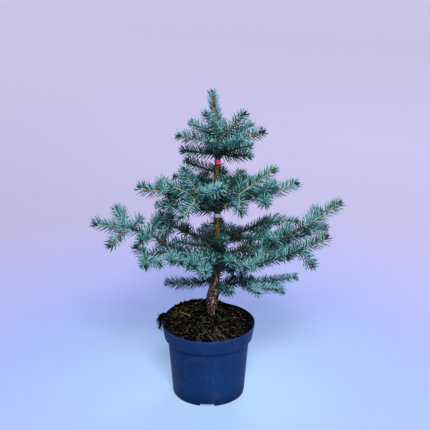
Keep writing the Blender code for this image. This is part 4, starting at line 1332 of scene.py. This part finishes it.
def dress_trunk(needles, buds):
    """The leader's needles and buds, and the old needles further down the trunk."""
    rng = seeded("leader")
    path = trunk_path(LEADER_FOOT, LEADER_TIP)
    radius = trunk_radius(LEADER_FOOT)
    add_needles(needles, path, radius, LEADER_NEEDLES, LEADER_SHADE, rng, budded=True,
                parted=LEADER_BARE_SHARE)
    add_tuft(needles, path, LEADER_SHADE, rng, parted=True)
    add_buds(buds, path, rng)
    for low, high, *habit in TRUNK_NEEDLES:
        add_needles(needles, trunk_path(low, high), trunk_radius(low), habit, OLD_SHADE, rng)


def trunk_path(low, high, step=PATH_STEP):
    """The trunk's middle line between two heights."""
    heights = np.linspace(low, high, max(4, round((high - low) / step)))
    return np.array([trunk_at(height) for height in heights])


# The trunk's bark

def angle_between(a, b):
    return (a - b + 180) % 360 - 180


def bark_relief(height, heading, radius):
    """How far the bark stands out at a place, how dark it is there and how pale its plate is. The darkness is
    knots and flecks, and painted shade in cracks, hollows and one side of the foot.
    """
    turn = math.radians(heading)
    around = (radius * math.cos(turn) / PLATE_WIDTH, radius * math.sin(turn) / PLATE_WIDTH)
    spot = Vector((*around, height / PLATE_HEIGHT))
    place = spot + Vector((noise.noise(spot * 0.8), noise.noise(spot * 0.8 + Vector((9, 3, 1))), 0)) * 0.7
    near, second = noise.voronoi(place)[0][:2]
    crack = 1 - min(1, (second - near) / CRACK_WIDTH)
    fine = noise.fractal(spot * 2.6, 0.6, 2.0, 4)
    plates = PLATE_DEPTH * (0.35 * noise.cell(place) + 0.35 * fine - 0.9 * crack * crack)
    weave = peg_weave(height, turn)
    pegs = PEG_DEPTH * (1.4 * max(0, weave) + 0.6 * fine)
    young = min(1, max(0, (height - OLD_BARK_TOP) / (YOUNG_BARK_FOOT - OLD_BARK_TOP)))
    out = plates * (1 - young) + pegs * young
    # Painted shade down one side of the foot.
    damp = PAINTED_SIDE_SHADE * math.exp(-(angle_between(heading, SIDE_SHADE_HEADING) / SIDE_SHADE_SPREAD) ** 2)
    # Dark flecks in the hollows between the pegs: partly the bark's own flecks, partly painted shade.
    flecks_and_shade = min(0.85, max(0.0, -2.2 * weave - 0.30)) + 0.3 * max(0, -fine)
    # The cracks at the foot are darkened as painted shade.
    dark = max(crack ** 1.5 * 0.9, damp) * (1 - young) + young * flecks_and_shade
    out, dark = with_knots(out, dark, height, heading, radius)
    return out, min(1, dark), noise.cell(place + Vector((0.5, 0.5, 7.5)))


def peg_weave(height, turn):
    """Where the pegs stand, from 1 on a peg to -1 between them."""
    first, second = [math.cos(count * turn + 2 * math.pi * height / rise) for count, rise in PEG_WINDINGS]
    return first * second


def with_knots(out, dark, height, heading, radius):
    """The same relief and darkness with the knots pressed in."""
    for middle, toward, half_width, half_height, depth in KNOTS:
        across = math.radians(angle_between(heading, toward)) * radius / half_width
        nearness = math.hypot(across, (height - middle) / half_height)
        out += depth * (0.6 * math.exp(-((nearness - 1.15) / 0.28) ** 2) - math.exp(-(nearness / 0.75) ** 2))
        dark = max(dark, math.exp(-(nearness / 0.85) ** 4))
    return out, dark


def bulge(above, aside, half_angle, half_height, reach):
    """How far a rounded swelling stands out, above its middle and aside of it."""
    return reach * math.exp(-(aside / half_angle) ** 2 - (above / half_height) ** 2)


def swelling(height, heading):
    """The uneven foot, and the collars where boughs leave."""
    out = 0.0
    for middle, toward, *size in FOOT_SWELLINGS:
        out += bulge(height - middle, angle_between(heading, toward), *size)
    for foot, toward, _, _ in BOUGHS.values():
        out += bulge(height - foot - COLLAR_RISE, angle_between(heading, toward), *BOUGH_COLLAR)
    return out


def make_trunk():
    """The trunk with the bark's relief in its mesh."""
    path = trunk_path(TRUNK_FOOT, LEADER_TIP, TRUNK_STEP)
    radii, depth, plate = np.zeros((3, len(path), TRUNK_SIDES))
    _, across, _ = frames_along(path)
    for ring, place in enumerate(path):
        radius = float(trunk_radius(place[2]) * np.interp(place[2], FOOT_HEIGHTS, FOOT_SHARES))
        start = math.degrees(math.atan2(across[ring][1], across[ring][0]))
        fade = min(1, radius / BARK_FADE_RADIUS)
        for side in range(TRUNK_SIDES):
            heading = start + side * 360 / TRUNK_SIDES
            out, depth[ring, side], plate[ring, side] = bark_relief(place[2], heading, radius)
            radii[ring, side] = radius + fade * (out + swelling(place[2], heading))
    heap = Heap()
    add_tube(heap, path, radii, TRUNK_SIDES)
    mesh = heap.mesh("trunk_bark")
    # depth: the bark's darkness, painted shade included; plate: how pale each plate is.
    for layer, values in (("depth", depth), ("plate", plate)):
        attribute = mesh.attributes.new(layer, "FLOAT", "POINT")
        attribute.data.foreach_set("value", np.concatenate([values.ravel(), [0, 0]]).astype(np.float32))
    place_piece("trunk_bark", mesh, bark_material(), "bark", ["trunk"])


# The pot

def wall_line(inset):
    """The wall's line from the collar's top to the foot, moved inwards by the inset."""
    return [
        (RIM_RADIUS - inset, POT_HEIGHT - RIM_LIP),
        (COLLAR_FOOT_RADIUS - inset, COLLAR_FOOT),
        (BODY_TOP_RADIUS - inset, BODY_TOP),
    ]


def inner_radius(height):
    """The inside of the pot's wall at a height."""
    rows = wall_line(WALL) + [(FOOT_RADIUS - WALL, FLOOR)]
    radii, heights = zip(*reversed(rows))
    return float(np.interp(height, heights, radii))


def rounded(line, radius, steps=5):
    """A line with its corners rounded off."""
    points = [np.array(point, float) for point in line]
    out = [points[0]]
    for before, corner, after in zip(points, points[1:], points[2:]):
        cut = min(radius, 0.45 * np.linalg.norm(before - corner), 0.45 * np.linalg.norm(after - corner))
        start, end = corner + cut * unit(before - corner), corner + cut * unit(after - corner)
        for share in np.linspace(0, 1, steps):
            out.append((1 - share) ** 2 * start + 2 * share * (1 - share) * corner + share ** 2 * end)
    return np.array(out + [points[-1]])


def split_long(line, longest):
    """The same line with its long runs divided."""
    out = [line[0]]
    for start, end in zip(line, line[1:]):
        pieces = max(1, math.ceil(np.linalg.norm(end - start) / longest))
        out += [start + (end - start) * step / pieces for step in range(1, pieces + 1)]
    return np.array(out)


def turned_heap(line, sides):
    """A closed line of (radius, height) from axis to axis, turned about Z. It runs down its outer side."""
    turn = -2 * math.pi * np.arange(sides) / sides
    ring = np.stack([np.cos(turn), np.sin(turn)], axis=1)
    body = line[1:-1]
    heights = np.broadcast_to(body[:, None, 1:], (len(body), sides, 1))
    rings = np.concatenate([body[:, None, :1] * ring, heights], axis=2)
    heap = Heap()
    add_body(heap, rings, (0, 0, line[0][1]), (0, 0, line[-1][1]))
    return heap


def box_heap(low, high):
    """A box between two corners."""
    points = np.array([[(low, high)[(corner >> axis) & 1][axis] for axis in range(3)] for corner in range(8)])
    faces = np.array([(0, 2, 3, 1), (4, 5, 7, 6), (0, 1, 5, 4), (2, 6, 7, 3), (0, 4, 6, 2), (1, 3, 7, 5)])
    heap = Heap()
    heap.add(points, faces)
    return heap


def cut_away(part, cutters):
    """Applies the cuts to a part and removes the cutters."""
    for cutter in cutters:
        cut = part.modifiers.new("cut", "BOOLEAN")
        cut.operation = "DIFFERENCE"
        cut.object = cutter
    bpy.context.view_layer.update()
    graph = bpy.context.evaluated_depsgraph_get()
    mesh = bpy.data.meshes.new_from_object(part.evaluated_get(graph))
    for thing in [part] + cutters:
        bpy.data.objects.remove(thing)
    return mesh


def loose_object(name, mesh, heading=0.0, place=(0, 0, 0)):
    thing = bpy.data.objects.new(name, mesh)
    bpy.context.scene.collection.objects.link(thing)
    thing.rotation_euler.z = math.radians(heading)
    thing.location = place
    return thing


def drain_cutters():
    """What the drain channels and holes are cut with."""
    low = (DRAIN_INNER_RADIUS, -DRAIN_WIDTH / 2, -DRAIN_HEIGHT)
    channel = box_heap(low, (FOOT_RADIUS * 1.1, DRAIN_WIDTH / 2, DRAIN_HEIGHT))
    top, bottom = 2 * FLOOR, -FLOOR
    hole_line = np.array([(0, top), (DRAIN_HOLE_RADIUS, top), (DRAIN_HOLE_RADIUS, bottom), (0, bottom)])
    cutters = []
    for number in range(DRAINS):
        heading = DRAIN_HEADING + number * 360 / DRAINS
        cutters.append(loose_object("channel", channel.mesh("channel"), heading))
        hole = turned_heap(hole_line, DRAIN_HOLE_SIDES).mesh("hole")
        cutters.append(loose_object("hole", hole, heading, DRAIN_HOLE_AT * heading_vector(heading)))
    return cutters


def make_pot():
    """The pot: a turned wall and floor, with the drains cut through."""
    inside = [(0, FLOOR), (FOOT_RADIUS - WALL, FLOOR)] + list(reversed(wall_line(WALL)))
    lip = [(RIM_RADIUS - WALL + RIM_LIP / 2, POT_HEIGHT), (RIM_RADIUS - RIM_LIP / 2, POT_HEIGHT)]
    foot = [(FOOT_RADIUS, FOOT_ROUNDING), (FOOT_RADIUS - FOOT_ROUNDING, 0), (0, 0)]
    line = split_long(rounded(inside + lip + wall_line(0) + foot, FILLET), WALL_STEP)
    part = loose_object("pot", turned_heap(line, POT_SIDES).mesh("pot"))
    shell = cut_away(part, drain_cutters())
    piece = place_piece("pot_shell", shell, pot_material(), "pot_plastic", ["pot"])
    piece.data.set_sharp_from_angle(angle=math.radians(SHARP_ANGLE))


# The soil

SOIL_RADIUS = inner_radius(SOIL_EDGE) - SEAT_GAP


def soil_height(heading, share):
    """The soil's surface. The share runs from 0 on the plateau round the trunk to 1 at the wall."""
    mound = np.maximum(0, np.cos(np.radians(heading - MOUND_HEADING))) * MOUND_HEIGHT
    hollow = np.maximum(0, np.cos(np.radians(heading - HOLLOW_HEADING))) * HOLLOW_DEPTH
    edge = SOIL_EDGE + mound - hollow
    ease = share * share * (3 - 2 * share)
    return SOIL_TOP + (edge - SOIL_TOP) * ease


def soil_lumps(x, y):
    """How high lumps and banks stand at a place on the ground plan."""
    spot = Vector((x / LUMP_SIZE, y / LUMP_SIZE, 0.7))
    lumps = LUMP_HEIGHT * (0.75 * noise.fractal(spot, 0.8, 2.0, 5) + 0.25 * noise.noise(spot * 3))
    across, away, _ = trunk_at(SOIL_TOP)
    for right, back, height, reach in BANKS:
        lumps += height * math.exp(-((x - across - right) ** 2 + (y - away - back) ** 2) / reach ** 2)
    return lumps


def soil_place(radius, heading):
    """A place on the soil's surface, by the rule that shapes the solid, with lumps."""
    across, away, _ = trunk_at(SOIL_TOP)
    share = min(1, max(0, (radius - SOIL_PLATEAU) / (SOIL_RADIUS - SOIL_PLATEAU)))
    height = float(soil_height(heading, share))
    shift = 1 - radius / SOIL_RADIUS
    x = radius * math.cos(math.radians(heading)) + across * shift
    y = radius * math.sin(math.radians(heading)) + away * shift
    fade = min(1, (SOIL_RADIUS - radius) / EDGE_FADE)
    return np.array([x, y, height + fade * soil_lumps(x, y)])


def soil_at(x, y):
    """The surface at a place on the ground plan."""
    across, away, _ = trunk_at(SOIL_TOP)
    shift = 0.5
    for _ in range(6):
        radius = math.hypot(x - across * shift, y - away * shift)
        shift = 1 - min(radius, SOIL_RADIUS) / SOIL_RADIUS
    heading = math.degrees(math.atan2(y - away * shift, x - across * shift))
    return soil_place(min(radius, SOIL_RADIUS), heading)


def scattered(rng, count):
    """Places spread evenly over the soil."""
    radii = SOIL_RADIUS * np.sqrt(rng.uniform(0.0, 0.97, count))
    places = [soil_place(radius, heading) for radius, heading in zip(radii, rng.uniform(0, 360, count))]
    return np.array(places)[outside_trunk(np.array(places) + (0, 0, 0.005), -0.002)]


def lying_directions(rng, count, steepest=25):
    """Directions that lie nearly level."""
    turn = rng.uniform(0, 2 * math.pi, count)
    lift = np.radians(rng.normal(6, steepest / 2, count))
    return np.stack([np.cos(turn) * np.cos(lift), np.sin(turn) * np.cos(lift), np.sin(lift)], axis=1)


def make_soil_bed():
    """The body of peat: a lumpy top, and sides that follow the pot's wall down to its floor."""
    radii = SOIL_RADIUS * np.linspace(0, 1, SOIL_RINGS + 1)[1:]
    headings = -np.arange(SOIL_SIDES) * 360 / SOIL_SIDES
    rings = [[soil_place(radius, heading) for heading in headings] for radius in radii]
    rings[-1] = [fit_to_wall(point) for point in rings[-1]]
    bottom = FLOOR + SEAT_GAP
    for radius, height in wall_line(WALL + SEAT_GAP)[1:] + [(FOOT_RADIUS - WALL - SEAT_GAP, bottom)]:
        rings.append([radius * heading_vector(heading) + (0, 0, height) for heading in headings])
    heap = Heap()
    add_body(heap, np.array(rings), soil_place(0, 0), (0, 0, bottom))
    return heap


def fit_to_wall(point):
    """An edge point of the soil, moved out to just clear of the wall."""
    level = math.hypot(point[0], point[1])
    scale = (inner_radius(point[2]) - SEAT_GAP) / level
    return np.array([point[0] * scale, point[1] * scale, point[2]])


def spill_path():
    """The line that peat and fibres take over the rim."""
    crest = POT_HEIGHT + SPILL_RADIUS + SEAT_GAP
    out = heading_vector(SPILL_HEADING)
    path = [(RIM_RADIUS + place) * out + (0, 0, crest - drop) for place, drop, _ in SPILL_STEPS]
    return np.array(path)


def make_soil():
    """The peat and all that lies on it."""
    rng = seeded("soil")
    peat, fibres, moss, chips, straw, roots = (Heap() for _ in range(6))
    for count, sizes in ((CRUMBS, CRUMB_SIZES), (CLODS, CLOD_SIZES)):
        places = scattered(rng, count)
        add_crumbs(peat, places, rng.uniform(*sizes, len(places)), rng)
    add_edge_clods(peat, rng)
    add_spill(peat, fibres, rng)
    add_fibres(fibres, rng)
    add_straw(straw, rng)
    add_moss(moss, rng)
    add_chips(chips, rng)
    add_stick(chips, rng)
    add_roots(roots, rng)
    damp = patchy_material("peat", edge=0.07, relief=0.0010, specular=0.0)
    heaps = {
        "soil_bed": (make_soil_bed(), damp),
        "soil_crumbs": (peat, damp),
        "soil_fibres": (fibres, patchy_material("peat_fibre")),
        "soil_straw": (straw, patchy_material("dry_needles")),
        "soil_moss": (moss, patchy_material("moss")),
        "soil_chips": (chips, patchy_material("bark_chip")),
        "soil_roots": (roots, patchy_material("pale_root")),
    }
    for name, (heap, material) in heaps.items():
        place_piece(name, heap.mesh(name), material, "peat", ["soil"], smooth=name == "soil_bed")


def add_edge_clods(heap, rng):
    """Clods that stand up along the back edge."""
    headings = rng.normal(*EDGE_CLOD_HEADINGS, EDGE_CLODS)
    places = [soil_place(SOIL_RADIUS * rng.uniform(*EDGE_CLOD_PLACES), heading) for heading in headings]
    sizes = rng.uniform(*EDGE_CLOD_SIZES, len(places))
    add_crumbs(heap, np.array(places) + (0, 0, 0.0015), sizes, rng)


def add_spill(peat, fibres, rng):
    """The shaggy tuft that hangs over the rim."""
    path = spill_path()
    shares = np.linspace(0, 1, SPILL_RINGS)
    middle = np.array([point_along(path, share) for share in shares])
    steps = np.linspace(0, 1, len(SPILL_STEPS))
    radii = SPILL_RADIUS * np.interp(shares, steps, [row[2] for row in SPILL_STEPS])
    rough = rng.uniform(*SPILL_ROUGHNESS, (SPILL_RINGS, SPILL_SIDES))
    add_tube(peat, middle, radii[:, None] * rough, SPILL_SIDES)
    count = SPILL_BLADES
    pick = rng.integers(4, SPILL_RINGS, count)
    outward = unit(rng.normal(size=(count, 3)))
    places = middle[pick] + outward * radii[pick][:, None] * rng.uniform(0.5, 0.95, (count, 1))
    add_crumbs(peat, places[:SPILL_CRUMBS], rng.uniform(*SPILL_CRUMB_SIZES, SPILL_CRUMBS), rng)
    down = unit(outward * 0.7 + rng.normal(0, 0.25, (count, 3)) + (0, 0, -0.8))
    sizes = rng.uniform(*SPILL_LENGTHS, count)
    bends = sizes[:, None] * np.array([0, 0, -0.3]) * rng.uniform(0.3, 1, (count, 1))
    add_blades(peat, places, down, sizes, bends, rng.uniform(*SPILL_HALF_WIDTHS, count))
    thin = [values[:SPILL_FIBRES] for values in (places, down, sizes, bends)]
    add_blades(fibres, *thin, np.full(SPILL_FIBRES, SPILL_HALF_WIDTHS[0]))


def add_fibres(heap, rng):
    """Fibres that lie all over the peat."""
    places = scattered(rng, FIBRES)
    sizes = rng.uniform(*FIBRE_LENGTHS, len(places))
    bends = rng.normal(0, 0.2, (len(places), 3)) * sizes[:, None]
    lie = lying_directions(rng, len(places))
    widths = rng.uniform(*FIBRE_HALF_WIDTHS, len(places))
    add_blades(heap, places + (0, 0, 0.0012), lie, sizes, bends, widths)


def add_straw(heap, rng):
    """Dry needles that have dropped on the peat."""
    places = scattered(rng, DRY_NEEDLES)
    count = len(places)
    lie = lying_directions(rng, count, 14)
    sizes = rng.uniform(*DRY_LENGTHS, count)
    bends = rng.normal(0, 0.001, (count, 3))
    add_blades(heap, places + (0, 0, 0.002), lie, sizes, bends, np.full(count, DRY_HALF_WIDTH))


def add_moss(heap, rng):
    """Patches of moss: sprigs of short blades, each sprig spread from one place."""
    for x, y, radius, count in MOSS:
        reach = radius * np.sqrt(rng.uniform(0, 1, count))
        turn = rng.uniform(0, 2 * math.pi, count)
        for across, away in zip(x + reach * np.cos(turn), y + reach * np.sin(turn)):
            if math.hypot(across, away) > SOIL_RADIUS:
                continue
            place = soil_at(across, away) + (0, 0, 0.0008)
            spread = rng.normal(0, SPRIG_SPREAD, (SPRIG_BLADES, 2))
            lean = unit(np.column_stack([spread, np.ones(SPRIG_BLADES)]))
            sizes = rng.uniform(*SPRIG_LENGTHS, SPRIG_BLADES)
            roots = place + np.column_stack([spread, np.zeros(SPRIG_BLADES)]) * SPRIG_FOOT
            widths = np.full(SPRIG_BLADES, SPRIG_HALF_WIDTH)
            add_blades(heap, roots, lean, sizes, 0.2 * sizes[:, None] * lean, widths)


def add_chips(heap, rng):
    """Bits of bark that lie on the peat."""
    turn = 2 * math.pi * np.arange(CHIP_SIDES) / CHIP_SIDES
    for x, y, heading, rise, length, half_width in CHIPS:
        ahead = heading_vector(heading, rise)
        start = soil_at(x, y) + (0, 0, 0.0012)
        path = start + np.linspace(-0.5, 0.5, CHIP_RINGS)[:, None] * length * ahead
        path += rng.normal(0, 0.0003, (CHIP_RINGS, 3))
        flat = 0.45 + 0.55 * np.abs(np.cos(turn + rng.uniform(0, 3)))
        rough = rng.uniform(0.75, 1.1, (CHIP_RINGS, CHIP_SIDES))
        add_tube(heap, path, half_width * flat * rough, CHIP_SIDES)


def add_stick(heap, rng):
    """One stick with a thick broken end."""
    ends = [soil_at(x, y) + (0, 0, 0.003) for x, y in STICK]
    share = np.linspace(0, 1, STICK_RINGS)
    path = ends[0] + share[:, None] * (ends[1] - ends[0])
    path += rng.normal(0, 0.0002, (STICK_RINGS, 3))
    thin, thick = STICK_RADII
    radii = np.interp(share, (0, 0.7, 1), (thin, thin * 1.3, thick))
    rough = rng.uniform(0.85, 1.1, (STICK_RINGS, STICK_SIDES))
    add_tube(heap, path, radii[:, None] * rough, STICK_SIDES)


def add_roots(heap, rng):
    """Thin pale roots that creep over the peat to the rim, and some over it."""
    share = np.linspace(0, 1, ROOT_STEPS)
    for number in range(ROOTS):
        heading = rng.uniform(*ROOT_HEADINGS)
        radii = np.linspace(rng.uniform(*ROOT_STARTS), rng.uniform(*ROOT_ENDS), ROOT_STEPS) * SOIL_RADIUS
        sway = np.cumsum(rng.normal(0, 1.8, ROOT_STEPS)) + rng.uniform(-4, 26) * share ** 0.7
        lift = ROOT_LIFT + np.abs(np.cumsum(rng.normal(0, 0.0004, ROOT_STEPS)))
        path = np.array([soil_place(radius, heading + turn) for radius, turn in zip(radii, sway)])
        path[:, 2] += lift
        if number % HANGING_EVERY == 0:
            over = over_the_rim(heading + sway[-1], rng.uniform(*HANGING_LENGTHS))
            path = np.vstack([path[:-1], over])
        add_tube(heap, path, np.linspace(*ROOT_RADII, len(path)), ROOT_SIDES)


def over_the_rim(heading, drop):
    """The last stretch of a root that hangs over the rim."""
    edge = heading_vector(heading)
    rim = POT_HEIGHT + 0.001
    steps = ((-0.004, 0.0), (0.0015, 0.0012), (0.002, drop))
    return [(RIM_RADIUS + out) * edge + (0, 0, rim - down) for out, down in steps]


# The ties

def tape_points(height, width, lean, rng):
    """Rings of points along tape wound round the trunk, with its loose end standing off."""
    turn = np.linspace(0, TAPE_TURNS * 2 * math.pi, TAPE_STEPS)
    radius = float(trunk_radius(height)) + TIE_SLACK + TAPE_THICKNESS * TAPE_WINDING * turn / (2 * math.pi)
    radius += np.interp(turn, (turn[-1] - TAPE_END_ANGLE, turn[-1]), (0, TAPE_END_LIFT))
    tilt = math.radians(lean)
    axis = np.array([math.sin(tilt), 0, math.cos(tilt)])
    side = np.array([math.cos(tilt), 0, -math.sin(tilt)])
    outward = np.cos(turn)[:, None] * side + np.sin(turn)[:, None] * np.array([0, 1, 0])
    middle = trunk_at(height) + (TAPE_WAVE * np.sin(turn * 1.3))[:, None] * axis
    crease = rng.normal(0, TAPE_CREASE, (TAPE_STEPS, len(TAPE_SHARES)))
    rows = []
    for depth, order in ((0.5, TAPE_SHARES), (-0.5, TAPE_SHARES[::-1])):
        for share in order:
            out = radius + depth * TAPE_THICKNESS + crease[:, TAPE_SHARES.index(share)]
            rows.append(middle + out[:, None] * outward + share * width / 2 * axis)
    return np.stack(rows, axis=1)


def make_tie(name):
    """Tape wound round the trunk, a little creased."""
    *winding, tape = TIES[name]
    points = tape_points(*winding, seeded(name))
    count = len(TAPE_SHARES)
    end = [[count - k - 1, count - k - 2, count + k + 1, count + k] for k in range(count - 1)]
    end = np.array(end)
    last = (TAPE_STEPS - 1) * 2 * count + end[:, ::-1]
    heap = Heap()
    heap.add(points.reshape(-1, 3), ring_faces(TAPE_STEPS, 2 * count), end, last)
    piece = name + "_tape"
    place_piece(piece, heap.mesh(piece), tape_material(tape), tape, [name])


# Assembly

def place_plant():
    """The plant's pieces, each kind apart."""
    needles, wood, buds = grow_plant()
    masses = sorted("foliage_" + name for name in list(FOLIAGE) + ["leader"])
    limbs = ["bough_" + name for name in BOUGHS]
    for tint, heap in needles.items():
        name = "needles_" + tint
        place_piece(name, heap.mesh(name), needle_material(tint), "needles", masses, smooth=False)
    pieces = {
        "twigs": (wood[1], twig_material(), masses),
        "stems": (wood[2], patchy_material("stem_bark"), masses),
        "boughs": (wood[3], patchy_material("bough_bark"), limbs),
        "buds": (buds, patchy_material("bud_scales"), masses),
    }
    for name, (heap, material, nodes) in pieces.items():
        place_piece(name, heap.mesh(name), material, "bark", nodes)


make_pot()
make_soil()
make_trunk()
place_plant()
for tie in TIES:
    make_tie(tie)


# Floor, light and camera

def make_floor():
    """A plain pale floor that turns from blue to lavender away from the pot."""
    top = [(radius, 0) for radius in (0, 0.5, 1.5, FLOOR_RADIUS)]
    line = np.array(top + [(FLOOR_RADIUS, -FLOOR_THICKNESS), (0, -FLOOR_THICKNESS)], float)
    floor = loose_object("floor", turned_heap(line, FLOOR_SIDES).mesh("floor"))
    material, tree, shader = new_material("floor", 0.7, 0.2)
    place = add_node(tree, "ShaderNodeTexCoord")
    distance = add_node(tree, "ShaderNodeVectorMath", operation="LENGTH")
    tree.links.new(place.outputs["Object"], distance.inputs[0])
    away = between(tree, distance.outputs["Value"], *FLOOR_CHANGE)
    tree.links.new(mix_colours(tree, away, NEAR_FLOOR, FAR_FLOOR), shader.inputs["Base Color"])
    glow = tree.nodes.new("ShaderNodeValToRGB")
    for number, (reach, colour) in enumerate(GLOW_STOPS):
        stops = glow.color_ramp.elements
        stop = stops[number] if number < 2 else stops.new(1.0)
        stop.position = reach / GLOW_REACH
        stop.color = (*colour, 1)
    tree.links.new(between(tree, distance.outputs["Value"], 0, GLOW_REACH), glow.inputs["Fac"])
    tree.links.new(glow.outputs["Color"], shader.inputs["Emission Color"])
    shader.inputs["Emission Strength"].default_value = 1
    floor.data.materials.append(material)
    floor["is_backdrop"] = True


def make_lamp(number, place, size, power, colour):
    lamp = bpy.data.lights.new("lamp_%d" % number, "AREA")
    lamp.shape = "DISK"
    lamp.size = size
    lamp.energy = power
    lamp.color = colour
    holder = bpy.data.objects.new(lamp.name, lamp)
    bpy.context.scene.collection.objects.link(holder)
    holder.location = place
    holder.rotation_euler = (Vector(LAMP_TARGET) - Vector(place)).to_track_quat("-Z", "Y").to_euler()


def make_world():
    world = bpy.data.worlds.new("studio")
    world.use_nodes = True
    back = world.node_tree.nodes["Background"]
    back.inputs["Color"].default_value = (*WORLD_COLOUR, 1)
    back.inputs["Strength"].default_value = WORLD_STRENGTH
    bpy.context.scene.world = world


def make_camera():
    camera = bpy.data.cameras.new("camera")
    camera.lens = CAMERA_LENS
    camera.sensor_width = CAMERA_SENSOR
    holder = bpy.data.objects.new("camera", camera)
    bpy.context.scene.collection.objects.link(holder)
    holder.location = CAMERA_PLACE
    holder.rotation_euler = (math.radians(90 - CAMERA_PITCH), 0, 0)
    bpy.context.scene.camera = holder


make_floor()
for number, lamp in enumerate(LAMPS):
    make_lamp(number, *lamp)
make_world()
make_camera()
bpy.context.scene.view_settings.view_transform = "Standard"

boxes = {"cad": CAD_BOX, "visual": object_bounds()}
{name: [list(corner) for corner in box] for name, box in boxes.items()}
